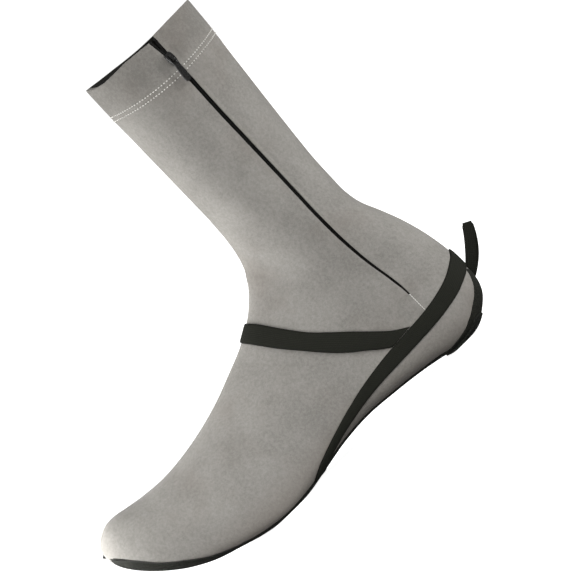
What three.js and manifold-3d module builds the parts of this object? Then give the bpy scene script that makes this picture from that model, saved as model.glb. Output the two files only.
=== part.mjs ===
// A tall cycling overshoe for the right foot, standing empty on its sole.
//
// It is a stretch-fabric boot pulled over a road shoe: a thin hollow upper from toe to shin, open
// at the collar and closed underneath by a tough black sole with a hole for the cleat. A strap
// crosses the instep, another runs round the heel, a zip closes the inner side, and a ribbon loop
// at the heel pulls the boot on.
//
// Millimetres. X runs from the toe back to the heel, +Z is up and the inner side of the foot
// faces -Y. The origin is the middle of the heel's resting spot, on the floor.

import * as THREE from "three";
import { mergeVertices } from "three/addons/utils/BufferGeometryUtils.js";
import Module from "manifold-3d";

const wasm = await Module();
wasm.setup();

// Driving dimensions of the boot
const SHOE_LENGTH = 291; // toe tip to the back of the heel
const INSTEP_HEIGHT = 100; // floor to the instep, where the strap crosses it
const COLLAR_HEIGHT = 279; // floor to the front of the collar
const BALL_WIDTH = 103;
const HEEL_WIDTH = 72;
const COLLAR_WIDTH = 72; // side to side
const COLLAR_DEPTH = 86; // front to back
const COLLAR_SLOPE = 3; // the back of the collar lies this much below its front
const COLLAR_DIP = 3; // the sides of the collar lie this much below its front and back
const WALL = 1.5; // laminated stretch fabric
const HEM_DEPTH = 27; // collar down to where the folded hem ends
const HEM_FOLD = 1.1; // thickness that the folded hem adds inside
const HEM_DIP = 1.6; // how much more the hem's line dips at the sides than the collar does

// Sole, straps and heel pieces
const SOLE_THICKNESS = 2.1;
const SOLE_WRAP = 7.5; // how far the sole climbs the toe
const CLEAT_HOLE_LENGTH = 66;
const CLEAT_HOLE_WIDTH = 52;
const PATCH_THICKNESS = 1;
const PATCH_LENGTH = 32;
const PATCH_TOP = 6; // height of the patch's rear end
const STRAP_WIDTH = 13;
const STRAP_THICKNESS = 1;
const LOOP_LENGTH = 30.5; // heel to the loop's fold
const LOOP_WIDTH = 6.5;
const LOOP_THICKNESS = 1;

// Zip
const ZIP_WIDTH = 3.2; // slot between the two edges of the fabric
const ZIP_TOP_WIDTH = 5.4; // the slot at the collar, above the slider
const ZIP_END_WIDTH = 1.8; // the slot where the zip ends
const CHAIN_THICKNESS = 1.2;
const TAPE_WIDTH = 15;
const TAPE_THICKNESS = 0.6;
const SLIDER_LENGTH = 9;
const SLIDER_WIDTH = 5.4;
const SLIDER_THICKNESS = 2.4;
const SLIDER_DROP = 16; // collar down to the middle of the slider
const BRIDGE_WIDTH = 1.4;
const BRIDGE_LENGTH = 5.4;
const BRIDGE_HEIGHT = 2.8;
const BRIDGE_BAR = 0.8;
const PULL_LENGTH = 18;
const PULL_WIDTH = 4.6;
const PULL_THICKNESS = 1.1;
const PULL_SWING = 7; // degrees that the hanging pull leans towards the toe

const GAP = 0.3; // clearance between neighbouring pieces

// Materials
const FABRIC = new THREE.MeshStandardMaterial({ color: 0x8b8983, roughness: 0.85 });
const SOLE_CLOTH = new THREE.MeshStandardMaterial({ color: 0x22231d, roughness: 0.8 });
const ELASTIC = new THREE.MeshStandardMaterial({ color: 0x282a25, roughness: 0.8 });
const ZIP_NYLON = new THREE.MeshStandardMaterial({ color: 0x15140f, roughness: 0.45 });
const ZIP_METAL = new THREE.MeshStandardMaterial({ color: 0x1b1b19, roughness: 0.3, metalness: 0.6 });

// Sections of the boot. Each lies in a plane that is square to the side view, and spans a chord
// from the sole, heel or back of the leg (low) to the toe top, instep or shin (high).
//   lowX, highX     per cent of SHOE_LENGTH, from the toe tip
//   lowZ, highZ     per cent of INSTEP_HEIGHT
//   inner, outer    half widths each side of the ridge, per cent of the width named above the table
//   ridge           how far the ridge lies towards the inner side, per cent of that width
//   widest          share of the chord where the section is widest
//   floor, crown    squareness below and above there: 1 is an ellipse, less is boxier
//   taper           share by which the sides lean in towards the ridge
//   wrap            height of the sole's edge along the chord, per cent of SOLE_WRAP
//   zip             share of the chord where the zip, or its line carried on, crosses
const COLUMNS = ["lowX", "lowZ", "highX", "highZ", "inner", "outer", "ridge",
  "widest", "floor", "crown", "taper", "wrap", "zip"];

// Toe to waist, widths in per cent of BALL_WIDTH
const FOOT = [
  [0.1, 60.0, 0.1, 60.0, 0.0, 0.0, 8.7, 0.45, 0.9, 0.9, 0.0, 10, 0.46],
  [0.3, 55.5, 0.5, 64.2, 8.2, 8.2, 8.7, 0.45, 0.9, 0.9, 0.0, 20, 0.46],
  [1.1, 48.8, 1.4, 67.6, 14.4, 15.0, 8.6, 0.44, 0.84, 0.88, 0.0, 70, 0.46],
  [2.6, 42.3, 2.9, 70.8, 21.0, 22.8, 8.3, 0.42, 0.76, 0.86, 0.02, 96, 0.46],
  [5.0, 34.5, 5.1, 73.2, 27.2, 30.4, 7.8, 0.40, 0.68, 0.86, 0.04, 100, 0.46],
  [8.2, 26.2, 8.2, 73.4, 32.6, 37.0, 7.3, 0.38, 0.6, 0.87, 0.07, 78, 0.46],
  [12.1, 18.2, 12.0, 71.8, 37.0, 42.2, 6.8, 0.35, 0.52, 0.88, 0.11, 70, 0.46],
  [17.2, 10.8, 17.1, 70.2, 40.6, 46.6, 6.3, 0.33, 0.45, 0.9, 0.15, 42, 0.45],
  [22.7, 6.0, 22.6, 70.0, 42.8, 50.6, 5.8, 0.31, 0.38, 0.92, 0.19, 22, 0.44],
  [28.9, 1.4, 28.6, 72.0, 43.7, 54.2, 5.3, 0.3, 0.33, 0.94, 0.23, 22, 0.43],
  [35.4, -1.1, 34.9, 76.0, 43.0, 56.4, 4.9, 0.29, 0.31, 0.96, 0.27, 26, 0.42],
  [41.9, 0.5, 41.0, 81.4, 40.4, 55.6, 4.4, 0.28, 0.33, 0.98, 0.3, 22, 0.41],
  [48.1, 3.9, 46.8, 88.2, 37.4, 52.0, 3.9, 0.28, 0.38, 1.0, 0.32, 18, 0.4],
  [55.0, 7.7, 52.0, 94.6, 34.6, 47.0, 3.4, 0.28, 0.42, 1.0, 0.33, 17, 0.38],
  [62.5, 9.5, 56.0, 101.3, 33.4, 42.4, 2.9, 0.28, 0.44, 1.0, 0.33, 16, 0.35],
  [70.1, 8.2, 59.0, 107.4, 33.4, 39.2, 2.2, 0.29, 0.45, 1.0, 0.32, 16, 0.32],
  [77.3, 6.0, 61.4, 113.8, 34.0, 36.8, 1.2, 0.3, 0.46, 1.0, 0.3, 18, 0.3],
];

// Round the heel and up to the ankle, widths in per cent of HEEL_WIDTH
const HEEL = [
  [83.0, 3.2, 63.0, 119.2, 49.2, 51.0, 0.8, 0.32, 0.48, 1.0, 0.28, 28, 0.28],
  [86.0, 1.0, 63.6, 122.0, 49.5, 50.6, 0.5, 0.33, 0.5, 1.0, 0.27, 36, 0.273],
  [90.5, 1.0, 64.3, 125.3, 49.8, 50.1, 0.1, 0.35, 0.55, 1.0, 0.25, 58, 0.27],
  [93.7, 3.1, 64.9, 128.0, 49.9, 49.9, 0.0, 0.36, 0.62, 1.0, 0.24, 78, 0.28],
  [96.5, 8.2, 65.3, 131.0, 49.7, 49.7, 0.0, 0.38, 0.7, 1.0, 0.22, 76, 0.305],
  [98.9, 15.5, 65.7, 134.5, 49.3, 49.3, 0.0, 0.4, 0.78, 1.0, 0.2, 60, 0.37],
  [100.0, 25.0, 66.0, 138.2, 48.8, 48.8, 0.0, 0.42, 0.84, 1.0, 0.18, 34, 0.415],
  [100.1, 36.5, 66.3, 142.2, 48.4, 48.4, 0.0, 0.43, 0.88, 1.0, 0.16, 10, 0.438],
  [99.8, 50.0, 66.5, 146.5, 48.0, 48.0, 0.0, 0.44, 0.92, 1.0, 0.14, 10, 0.447],
  [98.8, 66.0, 66.7, 151.3, 47.7, 47.7, 0.0, 0.45, 0.95, 1.0, 0.12, 10, 0.44],
  [97.2, 82.0, 66.8, 156.5, 47.4, 47.4, 0.0, 0.46, 0.97, 1.0, 0.1, 10, 0.416],
  [95.2, 96.5, 66.9, 162.0, 47.2, 47.2, 0.0, 0.47, 0.98, 1.0, 0.08, 10, 0.377],
  [93.3, 109.0, 67.0, 168.0, 47.0, 47.0, 0.0, 0.48, 0.98, 1.0, 0.06, 10, 0.334],
  [92.5, 121.0, 67.0, 174.5, 47.0, 47.0, 0.0, 0.49, 0.98, 1.0, 0.04, 10, 0.31],
];

// Up the leg: rise from the ankle to the hem and flare from ankle size to collar size, as shares
const LEG = [
  { rise: 0.1, flare: 0.0, dip: 0.0, zip: 0.308 },
  { rise: 0.215, flare: 0.03, dip: 0.0, zip: 0.308 },
  { rise: 0.335, flare: 0.13, dip: 0.05, zip: 0.316 },
  { rise: 0.47, flare: 0.27, dip: 0.15, zip: 0.328 },
  { rise: 0.61, flare: 0.42, dip: 0.35, zip: 0.341 },
  { rise: 0.75, flare: 0.58, dip: 0.6, zip: 0.352 },
  { rise: 0.885, flare: 0.73, dip: 0.85, zip: 0.36 },
];
const HEM_FLARE = 0.87;
const HEM_ZIP = 0.37;
const COLLAR_ZIP = 0.4;
const SHIN_SETBACK = 0.5; // the front of the collar lies this far behind the ankle's front

const HEEL_REST = 0.8825 * SHOE_LENGTH; // toe tip to the middle of the heel's resting spot

const mix = (a, b, share) => a + (b - a) * share;

// A row of the foot or heel table as a section in millimetres
function sectionFrom(row, width) {
  const s = Object.fromEntries(COLUMNS.map((name, i) => [name, row[i]]));
  return {
    lowX: (s.lowX / 100) * SHOE_LENGTH,
    lowZ: (s.lowZ / 100) * INSTEP_HEIGHT,
    highX: (s.highX / 100) * SHOE_LENGTH,
    highZ: (s.highZ / 100) * INSTEP_HEIGHT,
    inner: (s.inner / 100) * width,
    outer: (s.outer / 100) * width,
    ridge: (-s.ridge / 100) * width,
    widest: s.widest,
    floor: s.floor,
    crown: s.crown,
    taper: s.taper,
    wrap: (s.wrap / 100) * SOLE_WRAP,
    zip: s.zip,
    dip: 0,
  };
}

function makeSections() {
  const foot = FOOT.map((row) => sectionFrom(row, BALL_WIDTH));
  const heel = HEEL.map((row) => sectionFrom(row, HEEL_WIDTH));
  const ankle = heel.at(-1);
  const ankleDepth = ankle.lowX - ankle.highX;
  const hemHighZ = COLLAR_HEIGHT - HEM_DEPTH;
  const hemLowZ = hemHighZ - COLLAR_SLOPE;
  const legSection = (highX, lowZ, highZ, flare, dip, zip) => ({
    ...ankle,
    lowX: highX + mix(ankleDepth, COLLAR_DEPTH, flare),
    lowZ,
    highX,
    highZ,
    inner: mix(ankle.inner, COLLAR_WIDTH / 2, flare),
    outer: mix(ankle.outer, COLLAR_WIDTH / 2, flare),
    widest: 0.5,
    floor: 1,
    taper: 0,
    dip,
    zip,
  });
  const leg = LEG.map(({ rise, flare, dip, zip }) =>
    legSection(ankle.highX, mix(ankle.lowZ, hemLowZ, rise), mix(ankle.highZ, hemHighZ, rise),
      flare, dip * (COLLAR_DIP + HEM_DIP), zip));
  const hem = legSection(ankle.highX, hemLowZ, hemHighZ, HEM_FLARE, COLLAR_DIP + HEM_DIP, HEM_ZIP);
  const collar = legSection(ankle.highX + SHIN_SETBACK, COLLAR_HEIGHT - COLLAR_SLOPE, COLLAR_HEIGHT,
    1, COLLAR_DIP, COLLAR_ZIP);
  return [...foot, ...heel, ...leg, hem, collar];
}

const SECTIONS = makeSections();
const COLLAR_T = SECTIONS.length - 1;
const HEM_T = COLLAR_T - 1;
const FIRST_HEEL_T = FOOT.length;

// The section at any place t along the boot, where whole numbers are the rows of the tables
function sectionAt(t) {
  const i = Math.min(Math.max(Math.floor(t), 0), COLLAR_T - 1);
  const f = t - i;
  const [p0, p1, p2, p3] = [i - 1, i, i + 1, i + 2].map(
    (k) => SECTIONS[Math.min(Math.max(k, 0), COLLAR_T)]);
  const made = {};
  for (const key of Object.keys(p1)) {
    const curve = 0.5 * (2 * p1[key] + (p2[key] - p0[key]) * f
      + (2 * p0[key] - 5 * p1[key] + 4 * p2[key] - p3[key]) * f ** 2
      + (3 * p1[key] - p0[key] - 3 * p2[key] + p3[key]) * f ** 3);
    made[key] = key === "wrap" || i === 0 ? mix(p1[key], p2[key], f) : curve;
  }
  return made;
}

// The boot's outer skin: angle 0 is the middle of the sole, a half turn the ridge, with the inner
// side between them
function skin(t, angle) {
  const s = sectionAt(t);
  const up = -Math.cos(angle);
  const out = Math.sin(angle);
  const square = up < 0 ? s.floor : s.crown;
  const height = Math.abs(up) ** square;
  const reach = Math.abs(out) ** square;
  const share = up < 0 ? s.widest * (1 - height) : s.widest + (1 - s.widest) * height;
  const lean = up < 0 ? 1 : 1 - s.taper * height ** 2;
  const half = out > 0 ? s.inner : s.outer;
  return new THREE.Vector3(
    mix(s.lowX, s.highX, share) - HEEL_REST,
    s.ridge - Math.sign(out) * half * reach * lean,
    mix(s.lowZ, s.highZ, share) - s.dip * reach ** 2);
}

function skinNormal(t, angle) {
  const stepT = 0.02;
  const stepAngle = 0.01;
  const t0 = Math.min(Math.max(t, 0.3) + stepT, COLLAR_T);
  const along = skin(t0, angle).sub(skin(t0 - 2 * stepT, angle));
  const around = skin(t0, angle + stepAngle).sub(skin(t0, angle - stepAngle));
  if (t < 0.01) return new THREE.Vector3(-1, 0, 0);
  return along.cross(around).normalize();
}

// A point off the skin, never below the floor
function offSkin(t, angle, offset) {
  const p = skin(t, angle).addScaledVector(skinNormal(t, angle), offset);
  p.z = Math.max(p.z, 0);
  return p;
}

// A section's outline with its length measured from the middle of the sole, inner side first
const RING_STEPS = 360;
const rings = new Map();
function ringAt(t) {
  if (rings.has(t)) return rings.get(t);
  const lengths = [0];
  let last = skin(t, 0);
  for (let i = 1; i <= RING_STEPS; i++) {
    const next = skin(t, (i / RING_STEPS) * 2 * Math.PI);
    lengths.push(lengths[i - 1] + next.distanceTo(last));
    last = next;
  }
  rings.set(t, lengths);
  return lengths;
}

function lengthAtAngle(t, angle) {
  const place = (angle / (2 * Math.PI)) * RING_STEPS;
  const i = Math.min(Math.floor(place), RING_STEPS - 1);
  const lengths = ringAt(t);
  return mix(lengths[i], lengths[i + 1], place - i);
}

function angleAtLength(t, length) {
  const lengths = ringAt(t);
  let low = 0;
  let high = RING_STEPS;
  while (high - low > 1) {
    const middle = (low + high) >> 1;
    if (lengths[middle] > length) high = middle;
    else low = middle;
  }
  const span = lengths[high] - lengths[low];
  const share = span > 0 ? (length - lengths[low]) / span : 0;
  return ((low + share) / RING_STEPS) * 2 * Math.PI;
}

// The inner side's angle where the section has a given share of its chord
function angleAtShare(t, share) {
  const s = sectionAt(t);
  if (share < s.widest) return Math.acos(Math.min(1, (1 - share / s.widest) ** (1 / s.floor)));
  return Math.PI - Math.acos(Math.min(1, (share - s.widest) / (1 - s.widest)) ** (1 / s.crown));
}

const chordAt = (t) => {
  const s = sectionAt(t);
  return Math.hypot(s.highX - s.lowX, s.highZ - s.lowZ);
};

// Where a point of the side view lies on the skin: place along the boot and inner side's angle
function locate(x, z, fromT = 1) {
  const across = (t) => {
    const s = sectionAt(t);
    return (s.highX - s.lowX) * (z - s.lowZ) - (s.highZ - s.lowZ) * (x - s.lowX);
  };
  let low = fromT;
  let high = COLLAR_T;
  const sign = Math.sign(across(low));
  for (let step = 0; step < 50; step++) {
    const middle = (low + high) / 2;
    if (Math.sign(across(middle)) === sign) low = middle;
    else high = middle;
  }
  const s = sectionAt(low);
  const chord = [s.highX - s.lowX, s.highZ - s.lowZ];
  const share = ((x - s.lowX) * chord[0] + (z - s.lowZ) * chord[1]) / (chord[0] ** 2 + chord[1] ** 2);
  return { t: low, angle: angleAtShare(low, Math.min(Math.max(share, 0), 1)) };
}

// Slides a place over the skin by a vector that lies along it
function slide({ t, angle }, vector) {
  const steps = 4;
  const small = 0.01;
  const part = vector.clone().divideScalar(steps);
  for (let i = 0; i < steps; i++) {
    const here = skin(t, angle);
    const alongT = skin(t + small, angle).sub(here).divideScalar(small);
    const around = skin(t, angle + small).sub(here).divideScalar(small);
    const [a, b, c] = [alongT.dot(alongT), alongT.dot(around), around.dot(around)];
    const [p, q] = [alongT.dot(part), around.dot(part)];
    const det = a * c - b * b;
    t += (p * c - q * b) / det;
    angle += (a * q - b * p) / det;
  }
  return { t, angle };
}

// A closed shell over a grid of places on the skin. has(i, j) says which cells it covers, and
// layers(i, j) how far its outer and inner faces lie off the skin. A ring closes on itself.
function shell(grid, { ring = false, has = () => true, layers }) {
  const positions = [];
  const index = [];
  const made = new Map();
  const columns = grid[0].length;
  const vertex = (i, jRaw, layer) => {
    const j = ring ? jRaw % columns : jRaw;
    const place = grid[i][j];
    const key = `${place.pole ? "pole" : `${i},${j}`},${layer}`;
    if (!made.has(key)) {
      made.set(key, positions.length / 3);
      positions.push(...offSkin(place.t, place.angle, layers(i, j)[layer]).toArray());
    }
    return made.get(key);
  };
  const triangle = (a, b, c) => {
    if (a !== b && b !== c && c !== a) index.push(a, b, c);
  };
  const quad = (a, b, c, d) => {
    triangle(a, b, c);
    triangle(a, c, d);
  };
  const rowCells = grid.length - 1;
  const columnCells = ring ? columns : columns - 1;
  const covers = (i, j) => {
    if (i < 0 || i >= rowCells) return false;
    if (!ring && (j < 0 || j >= columnCells)) return false;
    return has(i, (j + columnCells) % columnCells);
  };
  for (let i = 0; i < rowCells; i++) {
    for (let j = 0; j < columnCells; j++) {
      if (!covers(i, j)) continue;
      const corners = [[i, j], [i, j + 1], [i + 1, j + 1], [i + 1, j]];
      quad(...corners.map(([r, c]) => vertex(r, c, 0)));
      const [a, b, c, d] = corners.map(([r, k]) => vertex(r, k, 1));
      quad(a, d, c, b);
      const neighbours = [[i - 1, j], [i, j + 1], [i + 1, j], [i, j - 1]];
      neighbours.forEach(([r, c], side) => {
        if (covers(r, c)) return;
        const [from, to] = [corners[side], corners[(side + 1) % 4]];
        quad(vertex(...to, 0), vertex(...from, 0), vertex(...from, 1), vertex(...to, 1));
      });
    }
  }
  return new THREE.BufferGeometry()
    .setAttribute("position", new THREE.Float32BufferAttribute(positions, 3))
    .setIndex(index);
}

// A geometry as a solid with its faces out, whichever way it was wound
function toManifold(geometry) {
  const bare = geometry.clone();
  bare.deleteAttribute("normal");
  bare.deleteAttribute("uv");
  const merged = mergeVertices(bare, 1e-4);
  const vertProperties = new Float32Array(merged.attributes.position.array);
  const triVerts = new Uint32Array(merged.index.array);
  const solid = new wasm.Manifold(new wasm.Mesh({ numProp: 3, vertProperties, triVerts }));
  if (solid.volume() >= 0) return solid;
  return new wasm.Manifold(new wasm.Mesh({ numProp: 3, vertProperties, triVerts: triVerts.reverse() }));
}

const fromManifold = (solid) => {
  const mesh = solid.getMesh();
  return new THREE.BufferGeometry()
    .setAttribute("position", new THREE.BufferAttribute(new Float32Array(mesh.vertProperties), 3))
    .setIndex(new THREE.BufferAttribute(new Uint32Array(mesh.triVerts), 1));
};

const largestPiece = (solid) =>
  solid.decompose().reduce((best, piece) => (piece.volume() > best.volume() ? piece : best));

// Rows of the grid that upper and sole share: the tables' rows, with some more put in where a
// piece begins or ends
const CLEAT_HOLE_MIDDLE = 0.345 * SHOE_LENGTH;
const TONGUE_TOP = 0.31 * INSTEP_HEIGHT; // top of the sole's tongue at the back of the heel
const TOE_START_T = 1;
const tAtLowX = (x) => {
  let [low, high] = [1, FIRST_HEEL_T + 3];
  for (let step = 0; step < 40; step++) {
    const middle = (low + high) / 2;
    if (sectionAt(middle).lowX < x) low = middle;
    else high = middle;
  }
  return low;
};
const tAtHeelHeight = (z) => {
  let [low, high] = [FIRST_HEEL_T + 2, COLLAR_T];
  for (let step = 0; step < 40; step++) {
    const middle = (low + high) / 2;
    if (sectionAt(middle).lowZ < z) low = middle;
    else high = middle;
  }
  return low;
};
const HOLE_START_T = tAtLowX(CLEAT_HOLE_MIDDLE - CLEAT_HOLE_LENGTH / 2);
const HOLE_END_T = tAtLowX(CLEAT_HOLE_MIDDLE + CLEAT_HOLE_LENGTH / 2);
const TONGUE_T = tAtHeelHeight(TONGUE_TOP);
const TONGUE_GAP_T = tAtHeelHeight(TONGUE_TOP + GAP);
const TOE_GAP_T = TOE_START_T + 0.16;
const ZIP_END_Z = 0.47 * INSTEP_HEIGHT;
const ZIP_END_T = (() => {
  const height = (t) => mix(sectionAt(t).lowZ, sectionAt(t).highZ, sectionAt(t).zip);
  let [low, high] = [FIRST_HEEL_T, COLLAR_T];
  for (let step = 0; step < 40; step++) {
    const middle = (low + high) / 2;
    if (height(middle) < ZIP_END_Z) low = middle;
    else high = middle;
  }
  return low;
})();
const HEM_STEP_T = HEM_T + 0.04;
const SLIDER_T = COLLAR_T - SLIDER_DROP / HEM_DEPTH;

function gridRows() {
  const extra = [TOE_GAP_T, HOLE_START_T, HOLE_END_T, TONGUE_T, TONGUE_GAP_T, ZIP_END_T, HEM_STEP_T, SLIDER_T];
  const holeRows = [0.12, 0.34, 0.52, 0.7, 0.88].map((share) => mix(HOLE_START_T, HOLE_END_T, share));
  const kept = [...extra, ...holeRows];
  const table = SECTIONS.map((_, t) => t).filter(
    (t) => t <= TOE_START_T || t >= HEM_T || kept.every((k) => Math.abs(k - t) > 0.34));
  return [...new Set([...table, ...kept])].sort((a, b) => a - b);
}
const ROWS = gridRows();
const rowOf = (t) => ROWS.indexOf(t);

// Half width of the cleat hole at a place along the boot: a rounded oval, and its line carried on
const HOLE_ROUNDNESS = 3;
const HOLE_END_SHARE = 0.62;
function holeHalfWidth(t) {
  const along = (sectionAt(t).lowX - CLEAT_HOLE_MIDDLE) / (CLEAT_HOLE_LENGTH / 2);
  const share = Math.max(0, 1 - Math.abs(along) ** HOLE_ROUNDNESS) ** (1 / HOLE_ROUNDNESS);
  return (CLEAT_HOLE_WIDTH / 2) * Math.max(share, HOLE_END_SHARE);
}

// Half width of the slot that the zip closes, along its height
function slotHalfWidth(t) {
  const open = THREE.MathUtils.smoothstep(t, ZIP_END_T, ZIP_END_T + 2);
  const top = THREE.MathUtils.smoothstep(t, SLIDER_T, COLLAR_T);
  return mix(mix(ZIP_END_WIDTH, ZIP_WIDTH, open), ZIP_TOP_WIDTH, top) / 2;
}

const zipLength = (t) => lengthAtAngle(t, angleAtShare(t, sectionAt(t).zip));

// Cells between one feature line and the next, going round from the middle of the sole
const CELLS = { hole: 2, rim: 2, gap: 1, flank: 6, zip: 1, crown: 7, outside: 13 };
const SPANS = ["hole", "rim", "gap", "flank", "zip", "crown", "outside", "gap", "rim", "hole"];
const COLUMN_SPANS = SPANS.flatMap((name) => Array(CELLS[name]).fill(name));
const ZIP_COLUMN = COLUMN_SPANS.indexOf("zip");

function gridRow(t) {
  if (t === 0) return COLUMN_SPANS.map(() => ({ t, angle: 0, pole: true }));
  const total = ringAt(t).at(-1);
  const sideLength = (angle) => [lengthAtAngle(t, angle), total - lengthAtAngle(t, 2 * Math.PI - angle)];
  const edgeShare = Math.max(sectionAt(t).wrap, 0.3) / chordAt(t);
  const [edgeInner, edgeOuter] = sideLength(angleAtShare(t, edgeShare));
  const holeShare = 0.55;
  const s = sectionAt(t);
  const middle = (s.inner - s.outer) / 2;
  const holeLength = (half, edge) => Math.min(half, edge * holeShare + 4);
  const holeInner = holeLength(holeHalfWidth(t) - Math.max(-middle, 0) * 0.5 - s.ridge * 0.5, edgeInner);
  const holeOuter = holeLength(holeHalfWidth(t) + Math.max(-middle, 0) * 0.5 + s.ridge * 0.5, edgeOuter);
  const zip = zipLength(t);
  const slot = slotHalfWidth(t);
  const ridge = lengthAtAngle(t, Math.PI);
  const marks = [0, holeInner, edgeInner - GAP / 2, edgeInner + GAP / 2, zip - slot, zip + slot,
    ridge, total - edgeOuter - GAP / 2, total - edgeOuter + GAP / 2, total - holeOuter, total];
  const places = [];
  SPANS.forEach((name, k) => {
    for (let c = 0; c < CELLS[name]; c++) {
      const length = mix(marks[k], marks[k + 1], c / CELLS[name]);
      places.push({ t, angle: angleAtLength(t, length) });
    }
  });
  return places;
}

const BOOT_GRID = ROWS.map(gridRow);
const isSoleColumn = (j) => ["hole", "rim"].includes(COLUMN_SPANS[j]);

function makeUpper() {
  const hemRow = rowOf(HEM_STEP_T);
  const tapeColumns = 1;
  return shell(BOOT_GRID, {
    ring: true,
    has: (i, j) => {
      if (COLUMN_SPANS[j] === "zip") return i < rowOf(ZIP_END_T);
      if (isSoleColumn(j) || COLUMN_SPANS[j] === "gap") {
        return i < rowOf(TOE_START_T) || i >= rowOf(TONGUE_GAP_T);
      }
      return true;
    },
    layers: (i, j) => {
      const besideZip = j >= ZIP_COLUMN - tapeColumns && j <= ZIP_COLUMN + 1 + tapeColumns;
      return [0, -WALL - (i >= hemRow && !besideZip ? HEM_FOLD : 0)];
    },
  });
}

function makeSole() {
  return shell(BOOT_GRID, {
    ring: true,
    has: (i, j) => {
      if (!isSoleColumn(j)) return false;
      if (i < rowOf(TOE_GAP_T) || i >= rowOf(TONGUE_T)) return false;
      return !(COLUMN_SPANS[j] === "hole" && i >= rowOf(HOLE_START_T) && i < rowOf(HOLE_END_T));
    },
    layers: () => [0, -SOLE_THICKNESS],
  });
}

// A layer over the boot's own faces, from one distance off the skin to another
const layerOver = (has, far, near) =>
  toManifold(shell(BOOT_GRID, { ring: true, has, layers: () => [far, near] }));

// A thick band over the skin, to cut a layer with
const BAND_REACH = 4;
const BAND_ROOT = -2;
const bandCutter = (grid) => toManifold(shell(grid, { layers: () => [BAND_REACH, BAND_ROOT] }));

// The tough patch on the lower corner of the heel, which is what the heel stands on
function makeHeelPatch() {
  const rows = 8;
  const columns = 8;
  const startT = tAtLowX(HEEL_REST - PATCH_LENGTH * 0.4);
  const endT = tAtHeelHeight(PATCH_TOP);
  const rim = 3; // sole left showing beside the patch
  const corner = 0.86; // width left at its two ends
  const grid = Array.from({ length: rows + 1 }, (_, i) => {
    const t = mix(startT, endT, i / rows);
    const total = ringAt(t).at(-1);
    const angle = angleAtShare(t, sectionAt(t).wrap / chordAt(t));
    const inner = lengthAtAngle(t, angle) - rim;
    const outer = total - lengthAtAngle(t, 2 * Math.PI - angle) - rim;
    const narrow = i === 0 || i === rows ? corner : 1;
    return Array.from({ length: columns + 1 }, (_, j) => {
      const length = mix(-outer * narrow, inner * narrow, j / columns);
      return { t, angle: angleAtLength(t, (length + total) % total) };
    });
  });
  const underHeel = (i) => ROWS[i] > FIRST_HEEL_T - 3 && ROWS[i] < FIRST_HEEL_T + 6;
  const layer = layerOver(underHeel, GAP + PATCH_THICKNESS, GAP);
  return fromManifold(largestPiece(layer.intersect(bandCutter(grid))));
}

// Strap lines in the side view, per cent of SHOE_LENGTH and of INSTEP_HEIGHT. The heel strap runs
// from the back of the heel to the sole's edge under the arch, the instep strap from the ridge of
// the instep down to the heel strap.
const HEEL_STRAP = [
  [100.2, 41.0], [97.9, 36.0], [94.5, 31.9], [91.0, 29.3], [86.6, 27.2], [82.1, 26.0],
  [76.0, 24.5], [70.4, 22.6], [65.3, 20.4], [60.1, 17.0], [55.0, 12.8], [51.5, 9.8], [48.4, 7.4],
  [44.5, 4.6],
];
const INSTEP_STRAP = [
  [55.2, 100.7], [57.6, 92.3], [60.2, 82.0], [63.6, 70.0], [67.0, 59.7], [70.4, 50.5],
  [73.9, 42.0], [77.5, 33.0], [80.8, 24.8],
];

const sidePlaces = (line) =>
  line.map(([x, z]) => locate((x / 100) * SHOE_LENGTH, (z / 100) * INSTEP_HEIGHT, 2));

// A whole line on both sides of the boot, through its first point, which lies on a ridge
function bothSides(places, ridgeAngle) {
  const onRidge = { t: places[0].t, angle: ridgeAngle };
  const side = places.slice(1);
  const mirrored = side.map(({ t, angle }) => ({ t, angle: 2 * ridgeAngle - angle })).reverse();
  return [...mirrored, onRidge, ...side];
}

// A band of the given width along a line on the skin, kept clear of the sole's edge
function bandGrid(places, width, rows, columns) {
  const line = new THREE.CatmullRomCurve3(places.map(({ t, angle }) => new THREE.Vector3(t, angle, 0)));
  const placeAt = (share) => {
    const p = line.getPoint(Math.min(Math.max(share, 0), 1));
    return { t: p.x, angle: p.y };
  };
  return Array.from({ length: rows + 1 }, (_, i) => {
    const share = i / rows;
    const middle = placeAt(share);
    const [before, after] = [placeAt(share - 0.01), placeAt(share + 0.01)];
    const along = skin(after.t, after.angle).sub(skin(before.t, before.angle));
    const across = along.cross(skinNormal(middle.t, middle.angle)).normalize();
    return Array.from({ length: columns + 1 }, (_, j) =>
      slide(middle, across.clone().multiplyScalar(width * (j / columns - 0.5))));
  });
}

const HEEL_STRAP_LINE = bothSides(sidePlaces(HEEL_STRAP), 0);
const STRAP_ROWS = 30;

// Both straps are sewn to the upper, so their layer covers it and stops at the sole's edge
const STRAPS_FROM_T = 8;
function makeStrap(line, cutters) {
  const overUpper = (i, j) => ROWS[i] >= STRAPS_FROM_T && ROWS[i] < HEM_T - 1
    && (ROWS[i] >= TONGUE_GAP_T || !(isSoleColumn(j) || COLUMN_SPANS[j] === "gap"));
  const layer = layerOver(overUpper, GAP + STRAP_THICKNESS, GAP);
  const band = layer.intersect(bandCutter(bandGrid(line, STRAP_WIDTH, STRAP_ROWS, 2)));
  return fromManifold(largestPiece(cutters.reduce((solid, cutter) => solid.subtract(cutter), band)));
}

const makeHeelStrap = () => makeStrap(HEEL_STRAP_LINE, []);

function makeInstepStrap() {
  const clear = bandCutter(bandGrid(HEEL_STRAP_LINE, STRAP_WIDTH + 2 * GAP, STRAP_ROWS, 2));
  return makeStrap(bothSides(sidePlaces(INSTEP_STRAP), Math.PI), [clear]);
}

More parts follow.
